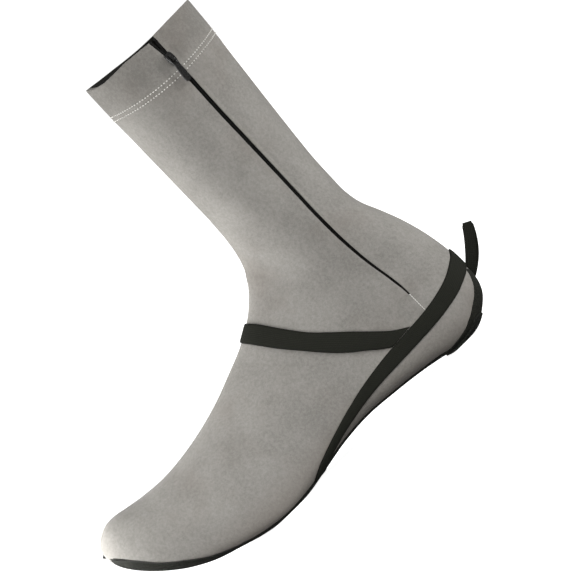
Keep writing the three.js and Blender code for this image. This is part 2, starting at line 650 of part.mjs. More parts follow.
// A strip that follows the zip's line between two places, from one distance beside it to another
function zipStrip(fromT, toT, rearSide, frontSide, layers, columns = 2) {
  const inside = ROWS.filter((t) => t > fromT + 0.1 && t < toT - 0.1);
  const grid = [fromT, ...inside, toT].map((t) =>
    Array.from({ length: columns + 1 }, (_, j) => {
      const beside = mix(rearSide(t), frontSide(t), j / columns);
      return { t, angle: angleAtLength(t, zipLength(t) + beside) };
    }));
  return shell(grid, { layers: () => layers });
}

const CHAIN_TOP = -0.2; // the chain lies a little below the fabric's face
const CHAIN_LAYERS = [CHAIN_TOP, CHAIN_TOP - CHAIN_THICKNESS];
const clearSlot = (t) => slotHalfWidth(t) - GAP;

const makeZipChain = () =>
  zipStrip(ZIP_END_T + 0.06, SLIDER_T, (t) => -clearSlot(t), clearSlot, CHAIN_LAYERS);

// Above the slider the two rows of teeth part towards the collar
const TEETH_START_T = SLIDER_T + 0.02;
const TEETH_END_T = COLLAR_T - 0.02;
const partedBy = (t) => GAP / 2 + 0.35 * THREE.MathUtils.smoothstep(t, TEETH_START_T, TEETH_END_T);
const makeRearTeeth = () =>
  zipStrip(TEETH_START_T, TEETH_END_T, (t) => -clearSlot(t), (t) => -partedBy(t), CHAIN_LAYERS);
const makeFrontTeeth = () =>
  zipStrip(TEETH_START_T, TEETH_END_T, partedBy, clearSlot, CHAIN_LAYERS);

function makeZipTape() {
  const top = -WALL - GAP;
  const half = () => TAPE_WIDTH / 2;
  const cutter = zipStrip(ZIP_END_T - 0.3, TEETH_END_T - 0.03, (t) => -half(t), half,
    [0, 2 * (top - TAPE_THICKNESS)], 1);
  const nearZip = (i, j) => ROWS[i] > FIRST_HEEL_T && Math.abs(j - ZIP_COLUMN) < 4;
  const layer = layerOver(nearZip, top, top - TAPE_THICKNESS);
  return fromManifold(layer.intersect(toManifold(cutter)));
}

// A frame on the zip at a height: x across it towards the heel, y up along it, z off the boot
function zipFrame(t) {
  const angle = angleAtLength(t, zipLength(t));
  const origin = skin(t, angle);
  const above = skin(t + 0.2, angleAtLength(t + 0.2, zipLength(t + 0.2)));
  const out = skinNormal(t, angle);
  const up = above.sub(origin);
  up.addScaledVector(out, -up.dot(out)).normalize();
  const across = new THREE.Vector3().crossVectors(up, out);
  return new THREE.Matrix4().makeBasis(across, up, out).setPosition(origin);
}

const extrude = (shape, depth, bevel = 0) => {
  const geometry = new THREE.ExtrudeGeometry(shape, {
    depth: depth - 2 * bevel,
    bevelEnabled: bevel > 0,
    bevelThickness: bevel,
    bevelSize: bevel,
    bevelOffset: -bevel,
    bevelSegments: 1,
    curveSegments: 6,
  });
  return geometry.translate(0, 0, bevel);
};

// A slider body: wide shoulders at the open end, a narrow tail, and a bridge for the pull
function makeSlider() {
  const [half, tail, length] = [SLIDER_WIDTH / 2, SLIDER_WIDTH * 0.36, SLIDER_LENGTH];
  const outline = new THREE.Shape();
  outline.moveTo(-tail, -length / 2);
  outline.lineTo(tail, -length / 2);
  outline.quadraticCurveTo(half, -length * 0.2, half, length * 0.12);
  outline.quadraticCurveTo(half, length * 0.42, half * 0.55, length / 2);
  outline.lineTo(-half * 0.55, length / 2);
  outline.quadraticCurveTo(-half, length * 0.42, -half, length * 0.12);
  outline.quadraticCurveTo(-half, -length * 0.2, -tail, -length / 2);
  const body = toManifold(extrude(outline, SLIDER_THICKNESS, 0.35).translate(0, 0, GAP));

  const sunk = 0.3; // the bridge's feet run into the body
  const rise = BRIDGE_HEIGHT + sunk;
  const arch = new THREE.Shape();
  arch.moveTo(-BRIDGE_LENGTH / 2, 0);
  arch.lineTo(BRIDGE_LENGTH / 2, 0);
  arch.lineTo(BRIDGE_LENGTH / 2, rise - 1);
  arch.quadraticCurveTo(BRIDGE_LENGTH / 2, rise, BRIDGE_LENGTH / 2 - 1, rise);
  arch.lineTo(1 - BRIDGE_LENGTH / 2, rise);
  arch.quadraticCurveTo(-BRIDGE_LENGTH / 2, rise, -BRIDGE_LENGTH / 2, rise - 1);
  const eye = new THREE.Path();
  const [eyeHalf, eyeTop] = [BRIDGE_LENGTH / 2 - BRIDGE_BAR, rise - BRIDGE_BAR];
  eye.moveTo(-eyeHalf, sunk + 0.01);
  eye.lineTo(-eyeHalf, eyeTop);
  eye.lineTo(eyeHalf, eyeTop);
  eye.lineTo(eyeHalf, sunk + 0.01);
  arch.holes.push(eye);
  const bridge = toManifold(extrude(arch, BRIDGE_WIDTH).translate(0, 0, -BRIDGE_WIDTH / 2)
    .rotateX(Math.PI / 2).rotateZ(Math.PI / 2)
    .translate(0, 0, GAP + SLIDER_THICKNESS - sunk));
  return fromManifold(body.add(bridge));
}

// The pull: a long drop with a slot at its top, whose bar runs through the slider's bridge.
// It is drawn hanging, with its hinge at the origin and its back towards the boot.
const PULL_BAR = 0.9;
const PULL_SLOT_LENGTH = 3.4;
const PULL_SLOT_WIDTH = BRIDGE_WIDTH + 1.1;
function makePull() {
  const top = PULL_BAR / 2;
  const shoulder = PULL_WIDTH / 2;
  const outline = new THREE.Shape();
  outline.moveTo(-shoulder * 0.8, top);
  outline.lineTo(shoulder * 0.8, top);
  outline.quadraticCurveTo(shoulder, top, shoulder, top - 0.8);
  outline.lineTo(shoulder * 0.82, -PULL_LENGTH * 0.36);
  outline.quadraticCurveTo(shoulder, -PULL_LENGTH * 0.62, shoulder, -PULL_LENGTH * 0.82);
  outline.quadraticCurveTo(shoulder * 0.9, -PULL_LENGTH, 0, -PULL_LENGTH);
  outline.quadraticCurveTo(-shoulder * 0.9, -PULL_LENGTH, -shoulder, -PULL_LENGTH * 0.82);
  outline.quadraticCurveTo(-shoulder, -PULL_LENGTH * 0.62, -shoulder * 0.82, -PULL_LENGTH * 0.36);
  outline.lineTo(-shoulder, top - 0.8);
  outline.quadraticCurveTo(-shoulder, top, -shoulder * 0.8, top);
  const slot = new THREE.Path();
  slot.moveTo(-PULL_SLOT_WIDTH / 2, -PULL_BAR / 2);
  slot.lineTo(-PULL_SLOT_WIDTH / 2, -PULL_BAR / 2 - PULL_SLOT_LENGTH);
  slot.lineTo(PULL_SLOT_WIDTH / 2, -PULL_BAR / 2 - PULL_SLOT_LENGTH);
  slot.lineTo(PULL_SLOT_WIDTH / 2, -PULL_BAR / 2);
  outline.holes.push(slot);
  return extrude(outline, PULL_THICKNESS, 0.25).translate(0, 0, -PULL_THICKNESS / 2);
}

// The heel loop: one ribbon, out, folded and back, its face to the side. Its middle line rises
// from the back of the heel; the two legs lie side by side.
const LOOP_ROOT = 0.29; // share of INSTEP_HEIGHT
const LOOP_START_ANGLE = 36; // degrees above level at the heel
const LOOP_END_ANGLE = 64; // degrees above level at the fold
const LOOP_GAP = 1.6; // between the legs at their widest
function makeLoop() {
  const rootT = tAtHeelHeight(LOOP_ROOT * INSTEP_HEIGHT);
  const root = skin(rootT, 0);
  const legHalf = (share) => LOOP_THICKNESS / 2 + (LOOP_GAP / 2) * (0.35 + 0.65 * Math.sin(Math.PI * Math.sqrt(share)) );
  const steps = 12;
  const foldSteps = 4;
  const middle = [];
  let p = new THREE.Vector2(root.x, root.z);
  for (let i = 0; i <= steps; i++) {
    const share = i / steps;
    const slope = THREE.MathUtils.degToRad(mix(LOOP_START_ANGLE, LOOP_END_ANGLE, share));
    const along = new THREE.Vector2(Math.cos(slope), Math.sin(slope));
    middle.push({ at: p.clone(), along, share });
    p = p.clone().addScaledVector(along, LOOP_LENGTH / steps);
  }
  // Each station: a point on the middle line, its place to the side and the ribbon's direction
  const fold = legHalf(1);
  const end = middle.at(-1);
  const stations = [
    ...middle.map(({ at, along, share }) => ({ at, along, y: -legHalf(share), face: [0, -1] })),
    ...Array.from({ length: foldSteps - 1 }, (_, k) => {
      const turn = ((k + 1) / foldSteps) * Math.PI;
      return {
        at: end.at.clone().addScaledVector(end.along, fold * Math.sin(turn)),
        along: end.along,
        y: -fold * Math.cos(turn),
        face: [Math.sin(turn), -Math.cos(turn)],
      };
    }),
    ...[...middle].reverse().map(({ at, along, share }) => ({ at, along, y: legHalf(share), face: [0, 1] })),
  ];
  const positions = [];
  const index = [];
  stations.forEach(({ at, along, y, face }) => {
    const centre = new THREE.Vector3(at.x, y, at.y);
    const width = new THREE.Vector3(-along.y, 0, along.x).multiplyScalar(LOOP_WIDTH / 2);
    const thick = new THREE.Vector3(along.x * face[0], face[1], along.y * face[0])
      .multiplyScalar(LOOP_THICKNESS / 2);
    for (const [w, f] of [[1, 1], [1, -1], [-1, -1], [-1, 1]]) {
      positions.push(...centre.clone().addScaledVector(width, w).addScaledVector(thick, f).toArray());
    }
  });
  const corner = (i, k) => 4 * i + (k % 4);
  for (let i = 0; i < stations.length - 1; i++) {
    for (let k = 0; k < 4; k++) {
      index.push(corner(i, k), corner(i, k + 1), corner(i + 1, k + 1));
      index.push(corner(i, k), corner(i + 1, k + 1), corner(i + 1, k));
    }
  }
  const last = stations.length - 1;
  index.push(corner(0, 0), corner(0, 2), corner(0, 1), corner(0, 0), corner(0, 3), corner(0, 2));
  index.push(corner(last, 0), corner(last, 1), corner(last, 2));
  index.push(corner(last, 0), corner(last, 2), corner(last, 3));
  const ribbon = new THREE.BufferGeometry()
    .setAttribute("position", new THREE.Float32BufferAttribute(positions, 3))
    .setIndex(index);
  const besideLoop = (i) => ROWS[i] > FIRST_HEEL_T + 3 && ROWS[i] < FIRST_HEEL_T + 10;
  const heel = layerOver(besideLoop, GAP, -LOOP_WIDTH);
  return fromManifold(largestPiece(toManifold(ribbon).subtract(heel)));
}

const overshoe = new THREE.Group();
function addPiece(name, geometry, material, parent = overshoe) {
  const mesh = new THREE.Mesh(fromManifold(toManifold(geometry)), material);
  mesh.name = name;
  parent.add(mesh);
  return mesh;
}

addPiece("upper", makeUpper(), FABRIC);
addPiece("outsole", makeSole(), SOLE_CLOTH);
addPiece("heel_patch", makeHeelPatch(), SOLE_CLOTH);
addPiece("heel_strap", makeHeelStrap(), ELASTIC);
addPiece("instep_strap", makeInstepStrap(), ELASTIC);
addPiece("zip_tape", makeZipTape(), ZIP_NYLON);
addPiece("zip_chain", makeZipChain(), ZIP_NYLON);
addPiece("zip_teeth_rear", makeRearTeeth(), ZIP_NYLON);
addPiece("zip_teeth_front", makeFrontTeeth(), ZIP_NYLON);
addPiece("pull_loop", makeLoop(), ELASTIC);

// The slider rides on the chain, and the pull hangs from its bridge
const sliderPlace = new THREE.Group();
sliderPlace.applyMatrix4(zipFrame(SLIDER_T));
overshoe.add(sliderPlace);
addPiece("zip_slider", makeSlider(), ZIP_METAL, sliderPlace);

const PULL_HINGE_HEIGHT = GAP + SLIDER_THICKNESS + (BRIDGE_HEIGHT - BRIDGE_BAR) / 2;
const pullHinge = new THREE.Group();
pullHinge.position.set(0, 0, PULL_HINGE_HEIGHT);
pullHinge.rotation.z = THREE.MathUtils.degToRad(-PULL_SWING);
sliderPlace.add(pullHinge);
addPiece("zip_pull", makePull(), ZIP_METAL, pullHinge);

export default overshoe;
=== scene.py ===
# The looks of a tall cycling overshoe: stretch fabric over a road shoe, with a black sole,
# woven straps, a side zip and a heel loop, in a pale studio.
#
# Lengths are in millimetres up to the last step, where each piece's points become metres. X runs
# from the toe back to the heel, +Z is up and the inner side of the foot faces -Y.

import math

import bpy
import numpy as np
from mathutils import Matrix, Vector


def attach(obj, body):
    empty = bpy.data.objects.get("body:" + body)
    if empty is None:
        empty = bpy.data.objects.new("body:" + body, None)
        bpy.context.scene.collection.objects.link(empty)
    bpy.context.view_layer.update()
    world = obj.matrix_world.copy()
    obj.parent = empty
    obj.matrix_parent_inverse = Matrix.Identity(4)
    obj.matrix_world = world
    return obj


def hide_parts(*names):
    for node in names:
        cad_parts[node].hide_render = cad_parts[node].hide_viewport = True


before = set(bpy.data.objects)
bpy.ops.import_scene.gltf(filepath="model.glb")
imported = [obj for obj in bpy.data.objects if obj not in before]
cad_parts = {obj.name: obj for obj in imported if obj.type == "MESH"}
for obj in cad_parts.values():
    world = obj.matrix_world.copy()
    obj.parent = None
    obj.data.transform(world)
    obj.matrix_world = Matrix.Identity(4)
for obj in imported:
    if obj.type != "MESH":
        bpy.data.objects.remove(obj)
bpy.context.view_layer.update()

MM = 0.001
BODY = "overshoe"

# Driving sizes of the boot
SHOE_LENGTH = 291
INSTEP_HEIGHT = 100
COLLAR_HEIGHT = 279
BALL_WIDTH = 103
HEEL_WIDTH = 72
COLLAR_WIDTH = 72
COLLAR_DEPTH = 86
COLLAR_SLOPE = 3
COLLAR_DIP = 3
WALL = 1.5
HEM_DEPTH = 27
HEM_FOLD = 1.1
HEM_DIP = 1.6
SOLE_THICKNESS = 2.1
SOLE_WRAP = 7.5
CLEAT_HOLE_LENGTH = 66
CLEAT_HOLE_WIDTH = 52
PATCH_LENGTH = 32
PATCH_TOP = 6
PATCH_THICKNESS = 1
STRAP_THICKNESS = 1
ZIP_WIDTH = 3.2
ZIP_TOP_WIDTH = 5.4
ZIP_END_WIDTH = 1.8
TAPE_WIDTH = 15
SLIDER_DROP = 16
LOOP_LENGTH = 30.5
LOOP_WIDTH = 7.3  # 0.8 wider than the CAD's ribbon, as in the photograph
LOOP_THICKNESS = 1
GAP = 0.3
HEEL_REST = 0.8825 * SHOE_LENGTH

# Sections of the boot, from the sole, heel or back of the leg (low) to the toe top, instep or
# shin (high): places in per cent of SHOE_LENGTH and INSTEP_HEIGHT, half widths and ridge in per
# cent of the width named above the table, the rest as shares of the section's chord.
# These are the tables' columns, and DIP, which only the leg has.
LOW_X, LOW_Z, HIGH_X, HIGH_Z, INNER, OUTER, RIDGE, WIDEST, FLOOR, CROWN, TAPER, WRAP, ZIP, DIP = range(14)

# Toe to waist, widths in per cent of BALL_WIDTH
FOOT = (
    (0.1, 60.0, 0.1, 60.0, 0.0, 0.0, 8.7, 0.45, 0.9, 0.9, 0.0, 10, 0.46),
    (0.3, 55.5, 0.5, 64.2, 8.2, 8.2, 8.7, 0.45, 0.9, 0.9, 0.0, 20, 0.46),
    (1.1, 48.8, 1.4, 67.6, 14.4, 15.0, 8.6, 0.44, 0.84, 0.88, 0.0, 70, 0.46),
    (2.6, 42.3, 2.9, 70.8, 21.0, 22.8, 8.3, 0.42, 0.76, 0.86, 0.02, 96, 0.46),
    (5.0, 34.5, 5.1, 73.2, 27.2, 30.4, 7.8, 0.40, 0.68, 0.86, 0.04, 100, 0.46),
    (8.2, 26.2, 8.2, 73.4, 32.6, 37.0, 7.3, 0.38, 0.6, 0.87, 0.07, 78, 0.46),
    (12.1, 18.2, 12.0, 71.8, 37.0, 42.2, 6.8, 0.35, 0.52, 0.88, 0.11, 70, 0.46),
    (17.2, 10.8, 17.1, 70.2, 40.6, 46.6, 6.3, 0.33, 0.45, 0.9, 0.15, 42, 0.45),
    (22.7, 6.0, 22.6, 70.0, 42.8, 50.6, 5.8, 0.31, 0.38, 0.92, 0.19, 22, 0.44),
    (28.9, 1.4, 28.6, 72.0, 43.7, 54.2, 5.3, 0.3, 0.33, 0.94, 0.23, 22, 0.43),
    (35.4, -1.1, 34.9, 76.0, 43.0, 56.4, 4.9, 0.29, 0.31, 0.96, 0.27, 26, 0.42),
    (41.9, 0.5, 41.0, 81.4, 40.4, 55.6, 4.4, 0.28, 0.33, 0.98, 0.3, 22, 0.41),
    (48.1, 3.9, 46.8, 88.2, 37.4, 52.0, 3.9, 0.28, 0.38, 1.0, 0.32, 18, 0.4),
    (55.0, 7.7, 52.0, 94.6, 34.6, 47.0, 3.4, 0.28, 0.42, 1.0, 0.33, 17, 0.38),
    (62.5, 9.5, 56.0, 101.3, 33.4, 42.4, 2.9, 0.28, 0.44, 1.0, 0.33, 16, 0.35),
    (70.1, 8.2, 59.0, 107.4, 33.4, 39.2, 2.2, 0.29, 0.45, 1.0, 0.32, 16, 0.32),
    (77.3, 6.0, 61.4, 113.8, 34.0, 36.8, 1.2, 0.3, 0.46, 1.0, 0.3, 18, 0.3),
)

# Round the heel and up to the ankle, widths in per cent of HEEL_WIDTH
HEEL = (
    (83.0, 3.2, 63.0, 119.2, 49.2, 51.0, 0.8, 0.32, 0.48, 1.0, 0.28, 28, 0.28),
    (86.0, 1.0, 63.6, 122.0, 49.5, 50.6, 0.5, 0.33, 0.5, 1.0, 0.27, 36, 0.273),
    (90.5, 1.0, 64.3, 125.3, 49.8, 50.1, 0.1, 0.35, 0.55, 1.0, 0.25, 58, 0.27),
    (93.7, 3.1, 64.9, 128.0, 49.9, 49.9, 0.0, 0.36, 0.62, 1.0, 0.24, 78, 0.28),
    (96.5, 8.2, 65.3, 131.0, 49.7, 49.7, 0.0, 0.38, 0.7, 1.0, 0.22, 76, 0.305),
    (98.9, 15.5, 65.7, 134.5, 49.3, 49.3, 0.0, 0.4, 0.78, 1.0, 0.2, 60, 0.37),
    (100.0, 25.0, 66.0, 138.2, 48.8, 48.8, 0.0, 0.42, 0.84, 1.0, 0.18, 34, 0.415),
    (100.1, 36.5, 66.3, 142.2, 48.4, 48.4, 0.0, 0.43, 0.88, 1.0, 0.16, 10, 0.438),
    (99.8, 50.0, 66.5, 146.5, 48.0, 48.0, 0.0, 0.44, 0.92, 1.0, 0.14, 10, 0.447),
    (98.8, 66.0, 66.7, 151.3, 47.7, 47.7, 0.0, 0.45, 0.95, 1.0, 0.12, 10, 0.44),
    (97.2, 82.0, 66.8, 156.5, 47.4, 47.4, 0.0, 0.46, 0.97, 1.0, 0.1, 10, 0.416),
    (95.2, 96.5, 66.9, 162.0, 47.2, 47.2, 0.0, 0.47, 0.98, 1.0, 0.08, 10, 0.377),
    (93.3, 109.0, 67.0, 168.0, 47.0, 47.0, 0.0, 0.48, 0.98, 1.0, 0.06, 10, 0.334),
    (92.5, 121.0, 67.0, 174.5, 47.0, 47.0, 0.0, 0.49, 0.98, 1.0, 0.04, 10, 0.31),
)

# Up the leg: rise from ankle to hem, flare from ankle size to collar size, dip of the sides, zip
LEG = (
    (0.1, 0.0, 0.0, 0.308),
    (0.215, 0.03, 0.0, 0.308),
    (0.335, 0.13, 0.05, 0.316),
    (0.47, 0.27, 0.15, 0.328),
    (0.61, 0.42, 0.35, 0.341),
    (0.75, 0.58, 0.6, 0.352),
    (0.885, 0.73, 0.85, 0.36),
    (1.0, 0.87, 1.0, 0.37),
)
COLLAR_ZIP = 0.4
SHIN_SETBACK = 0.5

def mix(a, b, share):
    return a + (b - a) * share


def smooth_step(value, start, end):
    share = np.clip((value - start) / (end - start), 0, 1)
    return share * share * (3 - 2 * share)


def smooth_curve(p0, p1, p2, p3, f):
    """The point at share f from p1 to p2 of a smooth curve through all four."""
    return 0.5 * (2 * p1 + (p2 - p0) * f + (2 * p0 - 5 * p1 + 4 * p2 - p3) * f ** 2
                  + (3 * p1 - p0 - 3 * p2 + p3) * f ** 3)


def lengths_along(points):
    """The length from a line's first point to each of its points."""
    return np.concatenate([[0], np.cumsum(np.linalg.norm(np.diff(points, axis=0), axis=1))])


def make_sections():
    rows = []
    for table, width in ((FOOT, BALL_WIDTH), (HEEL, HEEL_WIDTH)):
        for row in table:
            values = np.array(row + (0.0,), float)
            values[[LOW_X, HIGH_X]] *= SHOE_LENGTH / 100
            values[[LOW_Z, HIGH_Z]] *= INSTEP_HEIGHT / 100
            values[[INNER, OUTER]] *= width / 100
            values[RIDGE] *= -width / 100
            values[WRAP] *= SOLE_WRAP / 100
            rows.append(values)
    ankle = rows[-1]
    depth = ankle[LOW_X] - ankle[HIGH_X]
    hem_high = COLLAR_HEIGHT - HEM_DEPTH

    def leg_row(high_x, low_z, high_z, flare, dip, zip_share):
        row = ankle.copy()
        row[HIGH_X] = high_x
        row[LOW_X] = high_x + mix(depth, COLLAR_DEPTH, flare)
        row[LOW_Z], row[HIGH_Z] = low_z, high_z
        row[INNER] = mix(ankle[INNER], COLLAR_WIDTH / 2, flare)
        row[OUTER] = mix(ankle[OUTER], COLLAR_WIDTH / 2, flare)
        row[WIDEST], row[FLOOR], row[TAPER], row[DIP], row[ZIP] = 0.5, 1, 0, dip, zip_share
        return row

    for rise, flare, dip, zip_share in LEG:
        low = mix(ankle[LOW_Z], hem_high - COLLAR_SLOPE, rise)
        high = mix(ankle[HIGH_Z], hem_high, rise)
        rows.append(leg_row(ankle[HIGH_X], low, high, flare, dip * (COLLAR_DIP + HEM_DIP), zip_share))
    rows.append(leg_row(ankle[HIGH_X] + SHIN_SETBACK, COLLAR_HEIGHT - COLLAR_SLOPE, COLLAR_HEIGHT,
                        1, COLLAR_DIP, COLLAR_ZIP))
    return np.array(rows)


SECTIONS = make_sections()
COLLAR_T = len(SECTIONS) - 1
HEM_T = COLLAR_T - 1
FIRST_HEEL_T = len(FOOT)


def section_at(t):
    """The section at any place t along the boot; whole numbers are the tables' rows."""
    t = np.asarray(t, float)
    i = np.clip(np.floor(t).astype(int), 0, COLLAR_T - 1)
    f = (t - i)[..., None]
    near = [SECTIONS[np.clip(i + k, 0, COLLAR_T)] for k in (-1, 0, 1, 2)]
    curve = smooth_curve(*near, f)
    straight = mix(near[1], near[2], f)
    curve[..., WRAP] = straight[..., WRAP]
    return np.where((i == 0)[..., None], straight, curve)


def skin(t, angle):
    """The outer skin: angle 0 is the middle of the sole, a half turn the ridge, inner side between."""
    t, angle = np.broadcast_arrays(np.asarray(t, float), np.asarray(angle, float))
    s = section_at(t)
    up, out = -np.cos(angle), np.sin(angle)
    square = np.where(up < 0, s[..., FLOOR], s[..., CROWN])
    height, reach = np.abs(up) ** square, np.abs(out) ** square
    share = np.where(up < 0, s[..., WIDEST] * (1 - height), mix(s[..., WIDEST], 1, height))
    lean = np.where(up < 0, 1, 1 - s[..., TAPER] * height ** 2)
    half = np.where(out > 0, s[..., INNER], s[..., OUTER])
    return np.stack([
        mix(s[..., LOW_X], s[..., HIGH_X], share) - HEEL_REST,
        s[..., RIDGE] - np.sign(out) * half * reach * lean,
        mix(s[..., LOW_Z], s[..., HIGH_Z], share) - s[..., DIP] * reach ** 2,
    ], axis=-1)


def unit(vectors):
    return vectors / np.maximum(np.linalg.norm(vectors, axis=-1, keepdims=True), 1e-9)


def skin_normal(t, angle):
    step_t, step_angle = 0.02, 0.01
    t, angle = np.broadcast_arrays(np.asarray(t, float), np.asarray(angle, float))
    top = np.minimum(np.maximum(t, 0.3) + step_t, COLLAR_T)
    along = skin(top, angle) - skin(top - 2 * step_t, angle)
    around = skin(top, angle + step_angle) - skin(top, angle - step_angle)
    normal = unit(np.cross(along, around))
    normal[t < 0.01] = (-1, 0, 0)
    return normal


# Soft troughs (-) and ridges (+) of the stretched cloth. Each lies along a line in the side view,
# mm from the toe tip and above the floor: side (-1 inner, 1 outer), start, end, width, depth.
CREASES = (
    (-1, (20, 70), (44, 52), 9, 0.7),
    (-1, (44, 66), (70, 44), 13, -0.8),
    (-1, (176, 96), (204, 112), 10, -0.6),
    (-1, (184, 106), (216, 124), 8, 0.4),
    (-1, (262, 96), (276, 84), 8, -0.5),
    (-1, (236, 262), (246, 246), 4, -0.7),
    (-1, (229, 262), (240, 244), 4, 0.5),
    (1, (20, 70), (48, 50), 10, 0.7),
    (1, (176, 96), (206, 112), 10, -0.6),
    (1, (262, 98), (276, 84), 8, -0.5),
)


def relief(points):
    """How far the creases lift or sink the cloth at these points of the skin."""
    x, y, z = points[..., 0] + HEEL_REST, points[..., 1], points[..., 2]
    total = np.zeros(x.shape)
    for side, start, end, width, depth in CREASES:
        line = np.array(end, float) - start
        share = np.clip(((x - start[0]) * line[0] + (z - start[1]) * line[1]) / line.dot(line), 0, 1)
        away = np.hypot(x - start[0] - share * line[0], z - start[1] - share * line[1])
        total += np.where(y * side > 0, depth * np.exp(-(away / width) ** 2), 0)
    return total


def off_skin(t, angle, offset):
    """Points off the creased skin, never below the floor."""
    base = skin(t, angle)
    points = base + skin_normal(t, angle) * (offset + relief(base))[..., None]
    points[..., 2] = np.maximum(points[..., 2], 0)
    return points


# How far the collar's edge stands above (+) or below (-) an even cut: degrees round from the back
# of the leg, inner side first, and mm. The zip parts the edge between 74 and 83.
RIM_LIFT = (
    (0, 0.3), (20, 0.7), (32, 1.2), (55, 1.8), (74, 1.7),
    (83, -0.25), (90, 0.3), (108, 0.5), (123, -0.8), (137, -1.9), (153, -1.7), (168, -0.2),
    (180, 0.2), (222, 0.2), (240, 0.3), (270, -0.2), (300, 0.0), (360, 0.3),
)
RIM_LIFT_DEPTH = 14  # the lift dies out this far below the edge


def rim_lift(t, angle):
    degrees, lift = np.array(RIM_LIFT, float).T
    share = smooth_step(t, COLLAR_T - RIM_LIFT_DEPTH / HEM_DEPTH, COLLAR_T)
    return share * np.interp(np.degrees(angle) % 360, degrees, lift)


RING = np.linspace(0, 2 * math.pi, 721)
ring_lengths = {}


def ring_at(t):
    """Lengths round a section from the middle of the sole, inner side first."""
    if t not in ring_lengths:
        ring_lengths[t] = lengths_along(skin(t, RING))
    return ring_lengths[t]


def length_at_angle(t, angle):
    return np.interp(angle, RING, ring_at(t))


def angle_at_length(t, length):
    return np.interp(length, ring_at(t), RING)


def angle_at_share(t, share):
    """The inner side's angle where the section has a given share of its chord."""
    s = section_at(t)
    if share < s[WIDEST]:
        return math.acos(min(1, (1 - share / s[WIDEST]) ** (1 / s[FLOOR])))
    return math.pi - math.acos(min(1, (share - s[WIDEST]) / (1 - s[WIDEST])) ** (1 / s[CROWN]))


def chord_at(t):
    s = section_at(t)
    return math.hypot(s[HIGH_X] - s[LOW_X], s[HIGH_Z] - s[LOW_Z])


def find(test, low, high):
    """The place between low and high where test turns false."""
    for _ in range(44):
        middle = (low + high) / 2
        if test(middle):
            low = middle
        else:
            high = middle
    return low


def locate(x, z):
    """Place along the boot and inner side's angle of a point of the side view."""
    def across(t):
        s = section_at(t)
        return (s[HIGH_X] - s[LOW_X]) * (z - s[LOW_Z]) - (s[HIGH_Z] - s[LOW_Z]) * (x - s[LOW_X])

    sign = np.sign(across(2))
    t = find(lambda place: np.sign(across(place)) == sign, 2, COLLAR_T)
    s = section_at(t)
    chord = np.array([s[HIGH_X] - s[LOW_X], s[HIGH_Z] - s[LOW_Z]])
    share = ((x - s[LOW_X]) * chord[0] + (z - s[LOW_Z]) * chord[1]) / chord.dot(chord)
    return t, angle_at_share(t, min(max(share, 0), 1))


# Named places along the boot
CLEAT_HOLE_MIDDLE = 0.345 * SHOE_LENGTH
TONGUE_TOP = 0.31 * INSTEP_HEIGHT
ZIP_END_Z = 0.47 * INSTEP_HEIGHT


def t_at_low_x(x):
    return find(lambda t: section_at(t)[LOW_X] < x, 1, FIRST_HEEL_T + 3)


def t_at_heel_height(z):
    return find(lambda t: section_at(t)[LOW_Z] < z, FIRST_HEEL_T + 2, COLLAR_T)


def zip_height(t):
    s = section_at(t)
    return mix(s[LOW_Z], s[HIGH_Z], s[ZIP])


HOLE_START_T = t_at_low_x(CLEAT_HOLE_MIDDLE - CLEAT_HOLE_LENGTH / 2)
HOLE_END_T = t_at_low_x(CLEAT_HOLE_MIDDLE + CLEAT_HOLE_LENGTH / 2)
TONGUE_T = t_at_heel_height(TONGUE_TOP)
ZIP_END_T = find(lambda t: zip_height(t) < ZIP_END_Z, FIRST_HEEL_T, COLLAR_T)
SLIDER_T = COLLAR_T - SLIDER_DROP / HEM_DEPTH


HOLE_END_SHARE = 0.62  # width of the cleat hole left at its two ends


def hole_half_width(t):
    along = (section_at(t)[LOW_X] - CLEAT_HOLE_MIDDLE) / (CLEAT_HOLE_LENGTH / 2)
    share = max(0, 1 - abs(along) ** 3) ** (1 / 3)
    return CLEAT_HOLE_WIDTH / 2 * max(share, HOLE_END_SHARE)


def slot_half_width(t):
    open_width = mix(ZIP_END_WIDTH, ZIP_WIDTH, smooth_step(t, ZIP_END_T, ZIP_END_T + 0.9))
    return mix(open_width, ZIP_TOP_WIDTH, smooth_step(t, SLIDER_T, COLLAR_T)) / 2


def zip_length(t):
    return length_at_angle(t, angle_at_share(t, section_at(t)[ZIP]))


def sole_edges(t):
    """Lengths round the section of the sole's two edges."""
    angle = angle_at_share(t, max(section_at(t)[WRAP], 0.3) / chord_at(t))
    return length_at_angle(t, angle), length_at_angle(t, 2 * math.pi - angle)


# Helpers for pieces

def deselect_all():
    for other in list(bpy.context.selected_objects):
        other.select_set(False)


def make_active(piece):
    deselect_all()
    piece.select_set(True)
    bpy.context.view_layer.objects.active = piece


def edit(piece, *steps):
    """Runs edit-mode steps on a piece with all of it selected."""
    make_active(piece)
    bpy.ops.object.mode_set(mode="EDIT")
    bpy.ops.mesh.select_all(action="SELECT")
    for step in steps:
        step()
    bpy.ops.object.mode_set(mode="OBJECT")


def add_modifier(piece, kind, **settings):
    modifier = piece.modifiers.new(kind.title(), kind)
    for key, value in settings.items():
        setattr(modifier, key, value)
    make_active(piece)
    bpy.ops.object.modifier_apply(modifier=modifier.name)


def thicken(piece, thickness, offset=-1, **settings):
    """Makes a wall from a sheet, inward from it unless offset says otherwise."""
    add_modifier(piece, "SOLIDIFY", thickness=thickness * MM, offset=offset, **settings)


def round_edges(piece, width, angle=50):
    """Rounds the edges that turn by more than this many degrees."""
    add_modifier(piece, "BEVEL", width=width * MM, segments=2, limit_method="ANGLE",
                 angle_limit=math.radians(angle))


def paint(piece, finishes):
    """Gives a piece its materials, unless it has them already."""
    if not piece.data.materials:
        for material in finishes:
            piece.data.materials.append(material)


